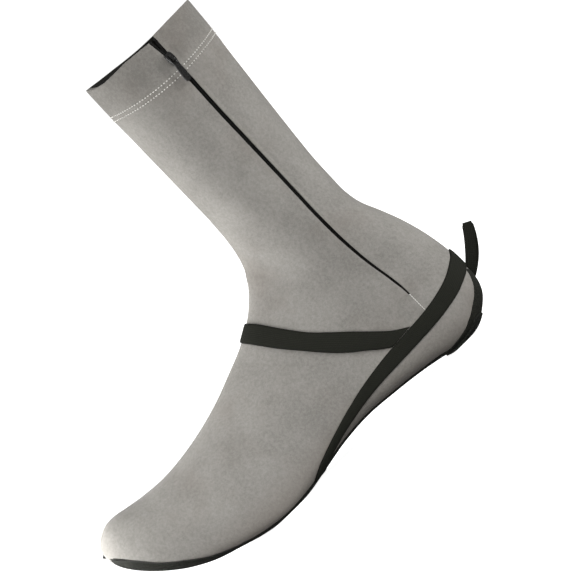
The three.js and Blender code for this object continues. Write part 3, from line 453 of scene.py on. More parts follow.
def finish_piece(piece, finishes, body=BODY, replaces=(), angle=60):
    """Gives a piece its materials, smooth shading and the body that it rides on."""
    paint(piece, finishes)
    make_active(piece)
    bpy.ops.object.shade_smooth_by_angle(angle=math.radians(angle))
    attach(piece, body)
    if replaces:
        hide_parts(*replaces)
    return piece


def cloth(name, points, keep=None, weights=None, outward=None):
    """A sheet from a flat grid whose points are laid in rows. keep(i, j) says which cells stay,
    weights gives a share of the wall's thickness at each point, outward one normal per point."""
    rows, columns = points.shape[0] - 1, points.shape[1] - 1
    deselect_all()
    bpy.ops.mesh.primitive_grid_add(x_subdivisions=columns, y_subdivisions=rows, size=1)
    piece = bpy.context.object
    piece.name = name
    mesh = piece.data
    flat = np.zeros(len(mesh.vertices) * 3)
    mesh.vertices.foreach_get("co", flat)
    flat = flat.reshape(-1, 3)
    column = np.rint((flat[:, 0] + 0.5) * columns).astype(int)
    row = np.rint((flat[:, 1] + 0.5) * rows).astype(int)
    if weights is not None:
        group = piece.vertex_groups.new(name="wall")
        values = weights[row, column]
        for value in np.unique(np.round(values, 3)):
            index = np.nonzero(np.round(values, 3) == value)[0]
            group.add([int(v) for v in index], float(value), "REPLACE")
    if keep is not None:
        centres = np.zeros(len(mesh.polygons) * 3)
        mesh.polygons.foreach_get("center", centres)
        centres = centres.reshape(-1, 3)
        cell_j = np.floor((centres[:, 0] + 0.5) * columns).astype(int)
        cell_i = np.floor((centres[:, 1] + 0.5) * rows).astype(int)
        spare = ~keep[cell_i, cell_j]
    placed = points[row, column] * MM
    mesh.vertices.foreach_set("co", placed.ravel())
    mesh.update()
    if keep is not None:
        make_active(piece)
        bpy.ops.object.mode_set(mode="EDIT")
        bpy.ops.mesh.select_mode(type="FACE")
        bpy.ops.mesh.select_all(action="DESELECT")
        bpy.ops.object.mode_set(mode="OBJECT")
        mesh.polygons.foreach_set("select", spare)
        bpy.ops.object.mode_set(mode="EDIT")
        bpy.ops.mesh.delete(type="FACE")
        bpy.ops.object.mode_set(mode="OBJECT")
    edit(piece, lambda: bpy.ops.mesh.remove_doubles(threshold=0.02 * MM))
    if outward is not None:
        face = mesh.polygons[len(mesh.polygons) // 2]
        near = np.argmin(((placed - np.array(face.center)) ** 2).sum(1))
        if Vector(outward[row[near], column[near]]).dot(face.normal) < 0:
            edit(piece, lambda: bpy.ops.mesh.flip_normals())
    return piece


def scatter(name, template, frames):
    """Copies of a small template piece at the frames (3 by 4 matrices in mm), as one piece."""
    base = np.array([v.co for v in template.data.vertices])
    faces = [tuple(p.vertices) for p in template.data.polygons]
    count = len(base)
    points = np.concatenate([base @ f[:, :3].T + f[:, 3] for f in frames]) * MM
    mesh = bpy.data.meshes.new(name)
    mesh.from_pydata(points.tolist(), [], [tuple(v + k * count for v in face)
                                          for k in range(len(frames)) for face in faces])
    piece = bpy.data.objects.new(name, mesh)
    bpy.context.scene.collection.objects.link(piece)
    bpy.data.objects.remove(template)
    return piece


def frame_at(centre, along, out):
    """A frame whose x runs along a seam and z stands off the surface."""
    along = unit(np.array(along, float))
    out = unit(np.array(out, float) - along * np.dot(out, along))
    return np.column_stack([along, np.cross(out, along), out, centre])


# Shader maths

class Value:
    """A number in a material; maths on it adds Math nodes."""

    def __init__(self, tree, socket):
        self.tree = tree
        self.socket = socket

    def _maths(self, operation, *inputs):
        node = self.tree.nodes.new("ShaderNodeMath")
        node.operation = operation
        for socket, value in zip(node.inputs, inputs):
            if isinstance(value, Value):
                self.tree.links.new(value.socket, socket)
            else:
                socket.default_value = value
        return Value(self.tree, node.outputs[0])

    def __add__(self, other):
        return self._maths("ADD", self, other)

    def __sub__(self, other):
        return self._maths("SUBTRACT", self, other)

    def __rsub__(self, other):
        return self._maths("SUBTRACT", other, self)

    def __mul__(self, other):
        return self._maths("MULTIPLY", self, other)

    def sine(self):
        return self._maths("SINE", self)

    def size(self):
        return self._maths("ABSOLUTE", self)

    def clamp(self):
        node = self.tree.nodes.new("ShaderNodeClamp")
        self.tree.links.new(self.socket, node.inputs[0])
        return Value(self.tree, node.outputs[0])

    def step(self, start, end):
        """0 below start, 1 above end, smooth between."""
        node = self.tree.nodes.new("ShaderNodeMapRange")
        node.interpolation_type = "SMOOTHSTEP"
        self.tree.links.new(self.socket, node.inputs[0])
        node.inputs[1].default_value = start
        node.inputs[2].default_value = end
        return Value(self.tree, node.outputs[0])


class Finish:
    """A material whose nodes all come from one method."""

    def __init__(self, name, **constants):
        self.material = bpy.data.materials.new(name)
        self.material.use_nodes = True
        self.tree = self.material.node_tree
        self.shader = self.tree.nodes["Principled BSDF"]
        for key, value in constants.items():
            self.shader.inputs[key.replace("_", " ")].default_value = value

    def node(self, kind, settings=None, sockets=None, output=0):
        node = self.tree.nodes.new("ShaderNode" + kind)
        for key, value in (settings or {}).items():
            setattr(node, key, value)
        for key, value in (sockets or {}).items():
            if isinstance(value, Value):
                self.tree.links.new(value.socket, node.inputs[key])
            else:
                node.inputs[key].default_value = value
        return Value(self.tree, node.outputs[output])

    def feed(self, socket, value):
        self.tree.links.new(value.socket, self.shader.inputs[socket])

    def place(self):
        return self.node("TexCoord", output="Object")

    def weave_place(self):
        return self.node("TexCoord", output="UV")

    def noise(self, scale, detail=2, roughness=0.5, place=None, stretch=None):
        place = place or self.place()
        if stretch:
            place = self.node("Mapping", sockets={"Vector": place, "Scale": stretch})
        return self.node("TexNoise", sockets={"Vector": place, "Scale": scale, "Detail": detail,
                                              "Roughness": roughness})

    def blend(self, share, dark, light):
        return self.node("Mix", {"data_type": "RGBA"},
                         {"Factor": share, 6: dark, 7: light}, output=2)

    def bump(self, height, distance, strength=1):
        normal = self.node("Bump", sockets={"Height": height, "Distance": distance * MM,
                                            "Strength": strength})
        self.feed("Normal", normal)


def fabric_finish():
    """Warm grey stretch cloth: fine grain, faint blotches and brownish stains, darker over the hem band, and
    painted shade that makes it a little darker and browner low on the side by the sole.
    """
    finish = Finish("stretch_fabric", Roughness=0.85, Specular_IOR_Level=0.2, Sheen_Weight=0.04,
                    Sheen_Roughness=0.4)
    grain = finish.noise(520, detail=4, roughness=0.75)
    speck = finish.noise(1500, detail=2)
    blotch = finish.noise(34, detail=5, roughness=0.6)
    cloud = finish.noise(13, detail=2)
    stain = finish.noise(19, detail=3, roughness=0.55, place=finish.node(
        "Mapping", sockets={"Vector": finish.place(), "Location": (0.31, 0.07, 0.52)}))
    height = finish.node("SeparateXYZ", sockets={"Vector": finish.place()}, output="Z")
    # Painted shade: the cloth turns darker and browner towards the sole, where the side curves under
    low = 1 - height.step(0.002, 0.03)
    hem = height.step(0.247, 0.262)
    tone = (grain.step(0.28, 0.72) * 0.44 + speck.step(0.3, 0.7) * 0.16 + blotch.step(0.32, 0.68) * 0.24
            + cloud.step(0.3, 0.7) * 0.16)
    plain = finish.blend((tone - hem * 0.42).clamp(), (0.178, 0.17, 0.155, 1), (0.322, 0.31, 0.287, 1))
    # The brown is mixed in for the faint stains and for the painted shade low on the side
    stain_and_low_shade = finish.blend((stain.step(0.5, 0.78) * 0.45 + low * 0.5).clamp(), plain, (0.17, 0.146, 0.126, 1))
    finish.feed("Base Color", stain_and_low_shade)
    knit = finish.noise(1100, detail=1, stretch=(1, 1, 1.8))
    finish.bump(grain * 0.6 + knit * 0.4, 0.16, 0.8)
    return finish.material


def lining_finish():
    """Black brushed lining."""
    finish = Finish("lining", Roughness=0.95, Specular_IOR_Level=0.1)
    fleece = finish.noise(900, detail=4, roughness=0.8)
    finish.feed("Base Color", finish.blend(fleece, (0.008, 0.008, 0.007, 1), (0.03, 0.03, 0.027, 1)))
    finish.bump(fleece, 0.3, 0.8)
    return finish.material


def sole_finish():
    """Black tough cloth with a rubbery coat and pale specks."""
    finish = Finish("sole_cloth", Roughness=0.75, Specular_IOR_Level=0.12)
    grit = finish.noise(1100, detail=3, roughness=0.75)
    specks = finish.noise(2300, detail=1).step(0.62, 0.75)
    tone = finish.blend((grit.step(0.35, 0.7) * 0.8 + specks * 0.5).clamp(),
                        (0.006, 0.0063, 0.0046, 1), (0.034, 0.035, 0.028, 1))
    finish.feed("Base Color", tone)
    finish.bump(grit, 0.35, 0.8)
    return finish.material


STUD_PITCH = 1.3


def patch_finish():
    """The heel's wear patch: the sole's cloth with a pressed grid of small studs."""
    finish = Finish("patch_cloth", Roughness=0.74, Specular_IOR_Level=0.14)
    grit = finish.noise(1200, detail=2, roughness=0.7)
    x, y = (finish.node("SeparateXYZ", sockets={"Vector": finish.place()}, output=axis) for axis in "XY")
    turns = math.pi / (STUD_PITCH * MM)
    stud = (((x + y) * turns).sine() * ((x - y) * turns).sine()).size()
    finish.feed("Base Color", finish.blend(grit.step(0.35, 0.7), (0.006, 0.0063, 0.0048, 1),
                                           (0.028, 0.029, 0.024, 1)))
    finish.bump(stud + grit * 0.3, 0.4, 0.9)
    return finish.material


def elastic_finish(ribs, picks):
    """Woven elastic: fine ribs along the strap, a woven pick across, darker at both edges."""
    finish = Finish("elastic", Roughness=0.8, Specular_IOR_Level=0.1)
    across, along = (finish.node("SeparateXYZ", sockets={"Vector": finish.weave_place()}, output=axis)
                     for axis in "XY")
    rib = (across * (math.pi * ribs)).sine().size()
    pick = (along * (math.pi * picks)).sine().size()
    fluff = finish.noise(1600, detail=3, roughness=0.7)
    edge = ((across - 0.5).size()).step(0.40, 0.5)
    tone = (rib * 0.35 + pick * 0.2 + fluff * 0.6 - edge * 0.5).clamp()
    finish.feed("Base Color", finish.blend(tone, (0.006, 0.0063, 0.0046, 1), (0.02, 0.021, 0.016, 1)))
    finish.bump(rib * 0.6 + pick * 0.4 + fluff * 0.4, 0.22, 0.8)
    return finish.material


def smooth_finish(name, dark, light, roughness, specular=0.5, scale=600, coat=0.0):
    """A hard or thread-like finish with a little grain."""
    finish = Finish(name, Roughness=roughness, Specular_IOR_Level=specular, Coat_Weight=coat)
    grain = finish.noise(scale, detail=2)
    finish.feed("Base Color", finish.blend(grain, dark, light))
    finish.feed("Roughness", grain * 0.2 + (roughness - 0.1))
    finish.bump(grain, 0.05, 0.5)
    return finish.material


FABRIC = fabric_finish()
LINING = lining_finish()
SOLE = sole_finish()
PATCH = patch_finish()
HEEL_ELASTIC = elastic_finish(11, 300)
INSTEP_ELASTIC = elastic_finish(11, 190)
LOOP_ELASTIC = elastic_finish(6, 60)
TAPE = smooth_finish("zip_cloth", (0.004, 0.004, 0.0035, 1), (0.01, 0.01, 0.0085, 1), 0.85, specular=0.08,
                     scale=1500)
NYLON = smooth_finish("zip_nylon", (0.004, 0.004, 0.0036, 1), (0.01, 0.01, 0.009, 1), 0.45, specular=0.15)
METAL = smooth_finish("zip_metal", (0.004, 0.004, 0.0038, 1), (0.009, 0.009, 0.0085, 1), 0.28,
                      specular=0.3, scale=900, coat=0.12)
THREAD = smooth_finish("pale_thread", (0.58, 0.565, 0.53, 1), (0.8, 0.785, 0.74, 1), 0.7, scale=2500)
DARK_THREAD = smooth_finish("dark_thread", (0.012, 0.012, 0.01, 1), (0.04, 0.04, 0.034, 1), 0.7, scale=2500)

SOLE_LIP = 2.0  # how far the sole's cut edge stands up over the upper
SOLE_START_T = 1.5  # where the sole starts as a thin point under the toe's tip
SOLE_FULL_T = 3.5  # where it has its full thickness

# The grid of places that upper and sole share
CELL = 3.2
SPANS = (("hole", 9), ("rim", 7), ("gap", 1), ("flank", 28), ("zip", 2), ("crown", 34),
         ("outside", 62), ("gap", 1), ("rim", 7), ("hole", 9))
SPAN_OF = [name for name, cells in SPANS for _ in range(cells)]
ZIP_COLUMN = SPAN_OF.index("zip")


def grid_rows():
    rows = []
    for i in range(COLLAR_T):
        a, b = SECTIONS[i], SECTIONS[i + 1]
        reach = max(math.hypot(b[LOW_X] - a[LOW_X], b[LOW_Z] - a[LOW_Z]),
                    math.hypot(b[HIGH_X] - a[HIGH_X], b[HIGH_Z] - a[HIGH_Z]), (b[INNER] - a[INNER]) * 1.2)
        steps = max(2, math.ceil(reach / CELL))
        rows += [i + k / steps for k in range(steps)]
    marks = [SOLE_START_T, HOLE_START_T, HOLE_END_T, TONGUE_T, ZIP_END_T]
    kept = [t for t in rows if all(abs(t - mark) > 0.08 for mark in marks)]
    return sorted(kept + marks + [float(COLLAR_T)])


ROWS = grid_rows()


def boot_grid(edge_shift=0.0):
    """Angles of the grid's places, row by row. edge_shift moves the sole's edge up the side."""
    grid = []
    for t in ROWS:
        total = ring_at(t)[-1]
        inner_edge, outer_edge = sole_edges(t)
        shift = edge_shift * smooth_step(t, 0.9, 1.7)
        inner_edge, outer_edge = inner_edge + shift, outer_edge - shift
        s = section_at(t)
        lean = (s[INNER] - s[OUTER]) / 4 - s[RIDGE] / 2
        hole = hole_half_width(t)
        outer_reach = total - outer_edge
        # Near the toe's point the sole is narrower than the hole, so its marks stay inside its edge
        hole_inner = min(hole + lean, inner_edge * 0.55 + 4, inner_edge * 0.8)
        hole_outer = min(hole - lean, outer_reach * 0.55 + 4, outer_reach * 0.8)
        zip_line, ridge = zip_length(t), length_at_angle(t, math.pi)
        # Near the toe's point the narrow marks shrink with the section, so that none of them cross
        slot, gap = min(slot_half_width(t), total * 0.03), min(GAP / 2, total * 0.01)
        marks = np.array([0, hole_inner, inner_edge - gap, inner_edge + gap, zip_line - slot,
                          zip_line + slot, ridge, outer_edge - gap, outer_edge + gap,
                          total - hole_outer, total])
        cells = np.cumsum([0] + [count for _, count in SPANS])
        even = marks.copy()
        even[:5] = cells[:5] / cells[4] * marks[4]
        even[6:] = mix(ridge, total, (cells[6:] - cells[6]) / (cells[-1] - cells[6]))
        marks = mix(marks, even, smooth_step(t, TONGUE_T + 0.3, TONGUE_T + 3.5))
        lengths = []
        for (_, cells), start, end in zip(SPANS, marks, marks[1:]):
            lengths += [mix(start, end, c / cells) for c in range(cells)]
        angles = angle_at_length(t, np.array(lengths + [total]))
        grid.append(angles)
    return np.array(grid)


ANGLES = boot_grid()
ROW_T = np.array(ROWS)[:, None] * np.ones(ANGLES.shape[1])
CELL_T = np.array(ROWS[:-1])[:, None]
SAME_ROW = 1e-6  # places along the boot closer than this are the same row


def in_spans(*names):
    """Which of a row's cells lie in the named spans."""
    return np.array([name in names for name in SPAN_OF])[None, :]


def cells_between(start, end):
    """Which rows of cells lie between two places along the boot."""
    return (CELL_T >= start - SAME_ROW) & (CELL_T < end - SAME_ROW)


ZIP_WELT = 0.35  # how far the cloth stands up along the zip
ZIP_TROUGH = 0.25  # and sinks beside that
HEM_STEP = 0.25  # how far the hem stands over the cloth below it
SEAM_DIP = 0.25  # how far the hem's seams pull it in
RIM_ROLL = 0.3  # how far the collar's edge rolls outward
RIM_TUCK = 0.5  # and how far its very end turns back in


def make_upper():
    keep = ~(in_spans("hole", "rim", "gap") & cells_between(SOLE_START_T, TONGUE_T))
    keep &= ~(in_spans("zip") & cells_between(ZIP_END_T, COLLAR_T))
    offset = np.zeros(ANGLES.shape)
    columns = np.arange(ANGLES.shape[1])
    beside = np.minimum(np.abs(columns - ZIP_COLUMN), np.abs(columns - ZIP_COLUMN - 2))[None, :]
    along_zip = smooth_step(ROW_T, ZIP_END_T - 0.6, ZIP_END_T + 1)
    welt = ZIP_WELT * np.exp(-((beside - 0.6) / 1.1) ** 2)
    trough = ZIP_TROUGH * np.exp(-((beside - 3.2) / 1.2) ** 2)
    offset += along_zip * (welt - trough)
    hem_step = smooth_step(ROW_T, HEM_T - 0.09, HEM_T + 0.02)
    rise = HEM_ROW_RISE * np.maximum(0, -np.cos(ANGLES)) ** 2
    seam_dip = sum(np.exp(-((ROW_T - HEM_T - row - rise) / 0.04) ** 2) for row in HEM_ROWS)
    offset += HEM_STEP * hem_step - SEAM_DIP * seam_dip
    rolled = smooth_step(ROW_T, COLLAR_T - 0.11, COLLAR_T - 0.04)
    offset += RIM_ROLL * rolled - RIM_TUCK * smooth_step(ROW_T, COLLAR_T - 0.03, COLLAR_T)
    points = off_skin(ROW_T, ANGLES, offset)
    points[..., 2] += rim_lift(ROW_T, ANGLES)
    wall = WALL / (WALL + HEM_FOLD)
    weights = np.where((ROW_T > HEM_T) & (beside > 4), 1.0, wall)
    piece = cloth("overshoe_upper", points, keep, weights, skin_normal(ROW_T, ANGLES))
    # The inner wall takes the second material, so both are there before the wall is made
    paint(piece, [FABRIC, LINING])
    thicken(piece, WALL + HEM_FOLD, vertex_group="wall", material_offset=1, material_offset_rim=0)
    round_edges(piece, 0.45, angle=55)
    return finish_piece(piece, [FABRIC, LINING], replaces=["upper"])


def make_sole():
    angles = boot_grid(SOLE_LIP)
    keep = in_spans("hole", "rim") & cells_between(SOLE_START_T, TONGUE_T)
    keep &= ~(in_spans("hole") & cells_between(HOLE_START_T, HOLE_END_T))
    grown = smooth_step(ROW_T, SOLE_START_T, SOLE_FULL_T)
    points = off_skin(ROW_T, angles, mix(0.15, 0.4, grown))
    piece = cloth("overshoe_sole", points, keep, mix(0.1, 1, grown), skin_normal(ROW_T, angles))
    thicken(piece, SOLE_THICKNESS + 0.3, vertex_group="wall")
    round_edges(piece, 0.35, angle=55)
    return finish_piece(piece, [SOLE], replaces=["outsole"])


def make_patch():
    start, end = t_at_low_x(HEEL_REST - PATCH_LENGTH * 0.4), t_at_heel_height(PATCH_TOP)
    rim, rows, columns = 3.0, 20, 34
    times, angles = [], []
    for i in range(rows + 1):
        t = mix(start, end, i / rows)
        total = ring_at(t)[-1]
        inner_edge, outer_edge = sole_edges(t)
        ends = min(i, rows - i) / rows
        narrow = 1 - 0.2 * max(0, 1 - ends / 0.16) ** 2
        inner, outer = (inner_edge - rim) * narrow, (total - outer_edge - rim) * narrow
        lengths = np.linspace(-outer, inner, columns + 1) % total
        times.append(np.full(columns + 1, t))
        angles.append(angle_at_length(t, lengths))
    times, angles = np.array(times), np.array(angles)
    points = off_skin(times, angles, np.full(angles.shape, GAP + PATCH_THICKNESS))
    piece = cloth("heel_wear_patch", points, outward=skin_normal(times, angles))
    thicken(piece, PATCH_THICKNESS + GAP)
    round_edges(piece, 0.3)
    return finish_piece(piece, [PATCH], replaces=["heel_patch"])


# Strap edges in the side view, per cent of SHOE_LENGTH and INSTEP_HEIGHT. The heel strap runs from
# the back of the heel to the sole's edge under the arch, the instep strap from the ridge of the
# instep to the heel strap.
HEEL_STRAP_TOP = (
    (100.6, 48.7), (97.9, 43.3), (95.5, 39.4), (92.8, 36.6), (89.3, 34.2), (85.9, 32.7),
    (82.1, 31.7), (75.9, 30.2), (72.2, 29.0), (68.7, 27.4), (65.3, 25.5), (61.9, 23.1),
    (58.4, 20.3), (55.0, 17.2), (51.5, 13.7), (48.1, 9.9), (46.2, 7.2), (44.0, 3.6),
)
HEEL_STRAP_BOTTOM = (
    (100.6, 33.9), (97.9, 29.9), (94.5, 26.1), (90.0, 23.4), (85.9, 22.0), (82.5, 21.3),
    (77.3, 20.4), (72.2, 19.7), (68.7, 19.0), (65.3, 17.9), (61.9, 16.3), (58.4, 14.3),
    (55.0, 11.9), (52.6, 9.9), (51.0, 8.3), (49.8, 7.1), (48.9, 5.9), (47.8, 4.6),
)
INSTEP_STRAP_TOP = (
    (56.4, 105.8), (57.4, 102.8), (59.1, 98.0), (61.9, 87.0), (65.3, 74.5), (68.7, 65.0),
    (72.2, 56.0), (75.6, 46.7), (79.0, 38.0), (82.3, 32.2),
)
INSTEP_STRAP_BOTTOM = (
    (52.6, 99.8), (53.6, 96.6), (56.0, 87.8), (58.4, 79.0), (61.9, 67.5), (65.3, 56.6),
    (68.7, 47.2), (72.2, 39.4), (74.5, 34.0), (76.4, 30.4),
)


def curve_through(points):
    """Close points on a smooth curve, and the share of its length at each."""
    points = np.array(points, float)
    padded = np.vstack([2 * points[0] - points[1], points, 2 * points[-1] - points[-2]])
    dense = []
    for i in range(len(points) - 1):
        for f in np.linspace(0, 1, 24, endpoint=False):
            dense.append(smooth_curve(*padded[i:i + 4], f))
    dense = np.array(dense + [points[-1]])
    length = lengths_along(dense)
    return length / length[-1], dense


HEEL_CROSSING = (33.9, 48.5)  # lower and upper edge at the back, per cent of INSTEP_HEIGHT
INSTEP_CROSSING = (97.0, 103.4)  # and at the ridge of the instep
RIDGE_BAND = 0.42  # radians beside the ridge that the side view foreshortens too much to be read


def ridge_place(z, ridge_angle):
    """Place along the boot where the ridge, or the back of the heel, has a given height."""
    if ridge_angle > 0:
        return find(lambda t: section_at(t)[HIGH_Z] < z, FIRST_HEEL_T - 6, FIRST_HEEL_T + 3)
    return find(lambda t: section_at(t)[LOW_Z] < z, FIRST_HEEL_T + 2, COLLAR_T)


def ease_over_ridge(side, heights, ridge_angle):
    """Lays a strap's first rows by a smooth curve that starts square to the ridge."""
    away = np.abs(side[..., 1] - ridge_angle).min(axis=1)
    last = int(np.argmax(away > RIDGE_BAND))
    start = np.array([(ridge_place(z, ridge_angle), ridge_angle) for z in heights])
    end, end_slope = side[last], (side[last + 1] - side[last]) * last
    start_slope = (end - start) * np.array([0, 1])
    u = np.linspace(0, 1, last + 1)[:, None, None]
    side[:last + 1] = ((2 * u ** 3 - 3 * u ** 2 + 1) * start + (u ** 3 - 2 * u ** 2 + u) * start_slope
                       + (3 * u ** 2 - 2 * u ** 3) * end + (u ** 3 - u ** 2) * end_slope)
    return side


def strap_places(top, bottom, crossing, ridge_angle, rows, columns):
    """Places of a strap on both sides of the boot, from its edges in the side view and the heights
    where it crosses over to the other side."""
    scale = np.array([SHOE_LENGTH, INSTEP_HEIGHT]) / 100
    # Rows are close where the strap goes over the ridge, which the side view foreshortens
    shares = 1 - np.cos(np.linspace(0, 1, rows + 1) * math.pi / 2) ** 0.9
    edges = []
    for edge in (top, bottom):
        run, dense = curve_through(np.array(edge, float) * scale)
        edges.append(np.column_stack([np.interp(shares, run, dense[:, k]) for k in (0, 1)]))
    side = []
    for row_top, row_bottom in zip(*edges):
        side.append([locate(*mix(row_bottom, row_top, j / columns)) for j in range(columns + 1)])
    heights = np.linspace(*crossing, columns + 1) * INSTEP_HEIGHT / 100
    side = ease_over_ridge(np.array(side), heights, ridge_angle)
    mirrored = side[:0:-1].copy()
    mirrored[..., 1] = 2 * ridge_angle - mirrored[..., 1]
    both = np.concatenate([mirrored, side])
    return both[..., 0], both[..., 1]


STRAP_COLUMNS = 12


def make_strap(name, edges, ridge_angle, rows, finish, replaces):
    times, angles = strap_places(*edges, ridge_angle, rows, STRAP_COLUMNS)
    across = np.linspace(-1, 1, STRAP_COLUMNS + 1)[None, :]
    far = GAP + STRAP_THICKNESS - 0.3 * np.abs(across) ** 6
    points = off_skin(times, angles, far * np.ones(times.shape))
    piece = cloth(name, points, outward=skin_normal(times, angles))
    thicken(piece, GAP + STRAP_THICKNESS)
    round_edges(piece, 0.2)
    return finish_piece(piece, [finish], replaces=replaces)


# The zip

def zip_places(start, end, count, beside):
    """Points' places along the zip, at distances beside its line."""
    times = np.linspace(start, end, count)
    angles = [angle_at_length(t, zip_length(t) + np.array([side(t) for side in beside])) for t in times]
    return times[:, None] * np.ones(len(beside)), np.array(angles)


def make_tape():
    half = TAPE_WIDTH / 2
    shares = (-1, -0.5, -0.2, 0, 0.2, 0.5, 1)
    times, angles = zip_places(ZIP_END_T - 0.3, COLLAR_T - 0.05, 90,
                               [lambda t, s=s: half * s for s in shares])
    offset = -WALL - GAP + 0.5 * np.exp(-(np.array(shares) / 0.3) ** 2)[None, :] * np.ones(times.shape)
    points = off_skin(times, angles, offset)
    piece = cloth("zip_tape_cloth", points, outward=skin_normal(times, angles))
    thicken(piece, 0.6)
    return finish_piece(piece, [TAPE], replaces=["zip_tape"])


def zip_frames(start, end, pitch, beside, offset):
    """Frames up the zip: x up along it, z off the boot, each beside the zip's line."""
    times = np.linspace(start, end, 200)
    lengths = np.array([zip_length(t) for t in times])
    centre = np.array([skin(t, angle_at_length(t, length)) for t, length in zip(times, lengths)])
    run = lengths_along(centre)
    frames = []
    for k, distance in enumerate(np.arange(pitch / 2, run[-1], pitch)):
        t = float(np.interp(distance, run, times))
        side = beside(t, k)
        angle = angle_at_length(t, zip_length(t) + side)
        angle_above = angle_at_length(t + 0.05, zip_length(t + 0.05) + side)
        normal = skin_normal(t, angle)
        point = skin(t, angle)
        along = skin(t + 0.05, angle_above) - point
        point = point + normal * (offset + relief(point))
        frames.append(frame_at(point, along, normal))
    return frames


COIL_TOOTH = (0.42, 1.25, 0.5)  # half sizes along the zip, across it and off the boot
COIL_PITCH = 0.9
COIL_OFFSET = -0.9  # how far the teeth's middle lies off the skin
OPEN_TOOTH = (0.75, 1.3, 0.7)
OPEN_PITCH = 1.15
OPEN_OFFSET = -0.5


def rounded_tooth(half_size):
    deselect_all()
    bpy.ops.mesh.primitive_uv_sphere_add(segments=8, ring_count=6, radius=1)
    tooth = bpy.context.object
    make_active(tooth)
    bpy.ops.transform.resize(value=half_size)
    bpy.ops.object.transform_apply(location=True, rotation=True, scale=True)
    return tooth


def make_coil():
    """The closed nylon coil below the slider, as rounded teeth."""
    def beside(t, k):
        return (1 if k % 2 else -1) * min(0.35, slot_half_width(t) - 0.6)

    frames = zip_frames(ZIP_END_T + 0.1, SLIDER_T + 0.1, COIL_PITCH, beside, COIL_OFFSET)
    piece = scatter("zip_coil", rounded_tooth(COIL_TOOTH), frames)
    return finish_piece(piece, [NYLON], replaces=["zip_chain"])


def make_open_rows():
    """The two parted rows above the slider, stout enough to read as black blocks."""
    def parted(t):
        return 0.9 + 1.2 * float(smooth_step(t, SLIDER_T, COLLAR_T))

    frames = []
    for side in (-1, 1):
        frames += zip_frames(SLIDER_T + 0.1, COLLAR_T - 0.03, OPEN_PITCH,
                             lambda t, k: side * parted(t), OPEN_OFFSET)
    piece = scatter("zip_open_rows", rounded_tooth(OPEN_TOOTH), frames)
    return finish_piece(piece, [NYLON], replaces=["zip_teeth_rear", "zip_teeth_front"])


# Threads

def stitch(length, radius):
    """One stitch: a rounded thread that dives into the cloth at both ends."""
    deselect_all()
    bpy.ops.mesh.primitive_uv_sphere_add(segments=8, ring_count=6, radius=1)
    piece = bpy.context.object
    bpy.ops.object.mode_set(mode="EDIT")
    bpy.ops.mesh.select_all(action="SELECT")
    bpy.ops.transform.rotate(value=math.pi / 2, orient_axis="Y", center_override=(0, 0, 0))
    bpy.ops.transform.resize(value=(length / 2, radius, radius))
    bpy.ops.object.mode_set(mode="OBJECT")
    return piece


HEM_ROWS = (0.005, 0.14)  # the two seams of the hem, above where it ends, as shares of HEM_DEPTH
HEM_ROW_RISE = 0.045  # how much more they rise towards the shin
HEM_PITCH = 2.2


def hem_seam_t(row, angle):
    return HEM_T + row + HEM_ROW_RISE * max(0, -math.cos(angle)) ** 2


def make_hem_stitches():
    frames = []
    for row in HEM_ROWS:
        ring = ring_at(HEM_T + row)
        zip_line, slot = zip_length(HEM_T + row), slot_half_width(HEM_T + row)
        for length in np.arange(HEM_PITCH / 2, ring[-1], HEM_PITCH):
            if abs(length - zip_line) < slot + 0.8:
                continue
            angle = float(angle_at_length(HEM_T + row, length))
            t = hem_seam_t(row, angle)
            ahead = skin(hem_seam_t(row, angle + 0.02), angle + 0.02)
            point = off_skin(t, angle, 0.24)
            frames.append(frame_at(point, ahead - skin(t, angle), skin_normal(t, angle)))
    piece = scatter("hem_stitching", stitch(1.3, 0.44), frames)
    return finish_piece(piece, [THREAD])


SEAM_TOP = np.array([253.4, 46.4])  # mm from the toe and above the floor
SEAM_BOTTOM = np.array([253.6, 32.5])
SEAM_STITCHES = 10


def make_seam_stitches():
    """The seam from the zip's end straight down to the heel strap."""
    frames = []
    for share in np.arange(SEAM_STITCHES) / (SEAM_STITCHES - 1):
        t, angle = locate(*mix(SEAM_TOP, SEAM_BOTTOM, share))
        t_low, angle_low = locate(*mix(SEAM_TOP, SEAM_BOTTOM, share + 0.02))
        along = skin(t_low, angle_low) - skin(t, angle)
        frames.append(frame_at(off_skin(t, angle, 0.05), along, skin_normal(t, angle)))
    piece = scatter("seam_stitching", stitch(1.4, 0.28), frames)
    return finish_piece(piece, [THREAD])


OVERLOCK_T = (2.2, 8.3)  # from the toe to just before the ball
OVERLOCK_PITCH = 1.5


def make_overlock():
    """Thread wrapped over the sole's edge round the toe, which makes the edge look toothed."""
    frames = []
    times = np.linspace(*OVERLOCK_T, 400)
    for side in (1, -1):
        edge = np.array([sole_edges(t)[0 if side > 0 else 1] for t in times]) + side * SOLE_LIP
        angle = np.array([angle_at_length(t, length) for t, length in zip(times, edge)])
        points = skin(times, angle)
        run = lengths_along(points)
        for distance in np.arange(0, run[-1], OVERLOCK_PITCH):
            t, a = float(np.interp(distance, run, times)), float(np.interp(distance, run, angle))
            normal = skin_normal(t, a)
            around = skin(t, a + 0.02) - skin(t, a - 0.02)
            frames.append(frame_at(skin(t, a) + normal * 0.3, around, normal))
    piece = scatter("sole_overlock", stitch(2.0, 0.42), frames)
    return finish_piece(piece, [DARK_THREAD])


LOOP_ROOT = 0.29  # share of INSTEP_HEIGHT
LOOP_START_ANGLE = 36  # degrees above level at the heel
LOOP_END_ANGLE = 64  # degrees above level at the fold
LOOP_GAP = 1.6  # between the legs at their widest
LOOP_BURIED = 2.2  # length of each leg that is sewn in under the sole's edge
LOOP_TIP = 1.8  # the ribbon's corners are rounded over this length
LEG_SPREAD = 1.6  # the far leg hangs this much lower than the near one


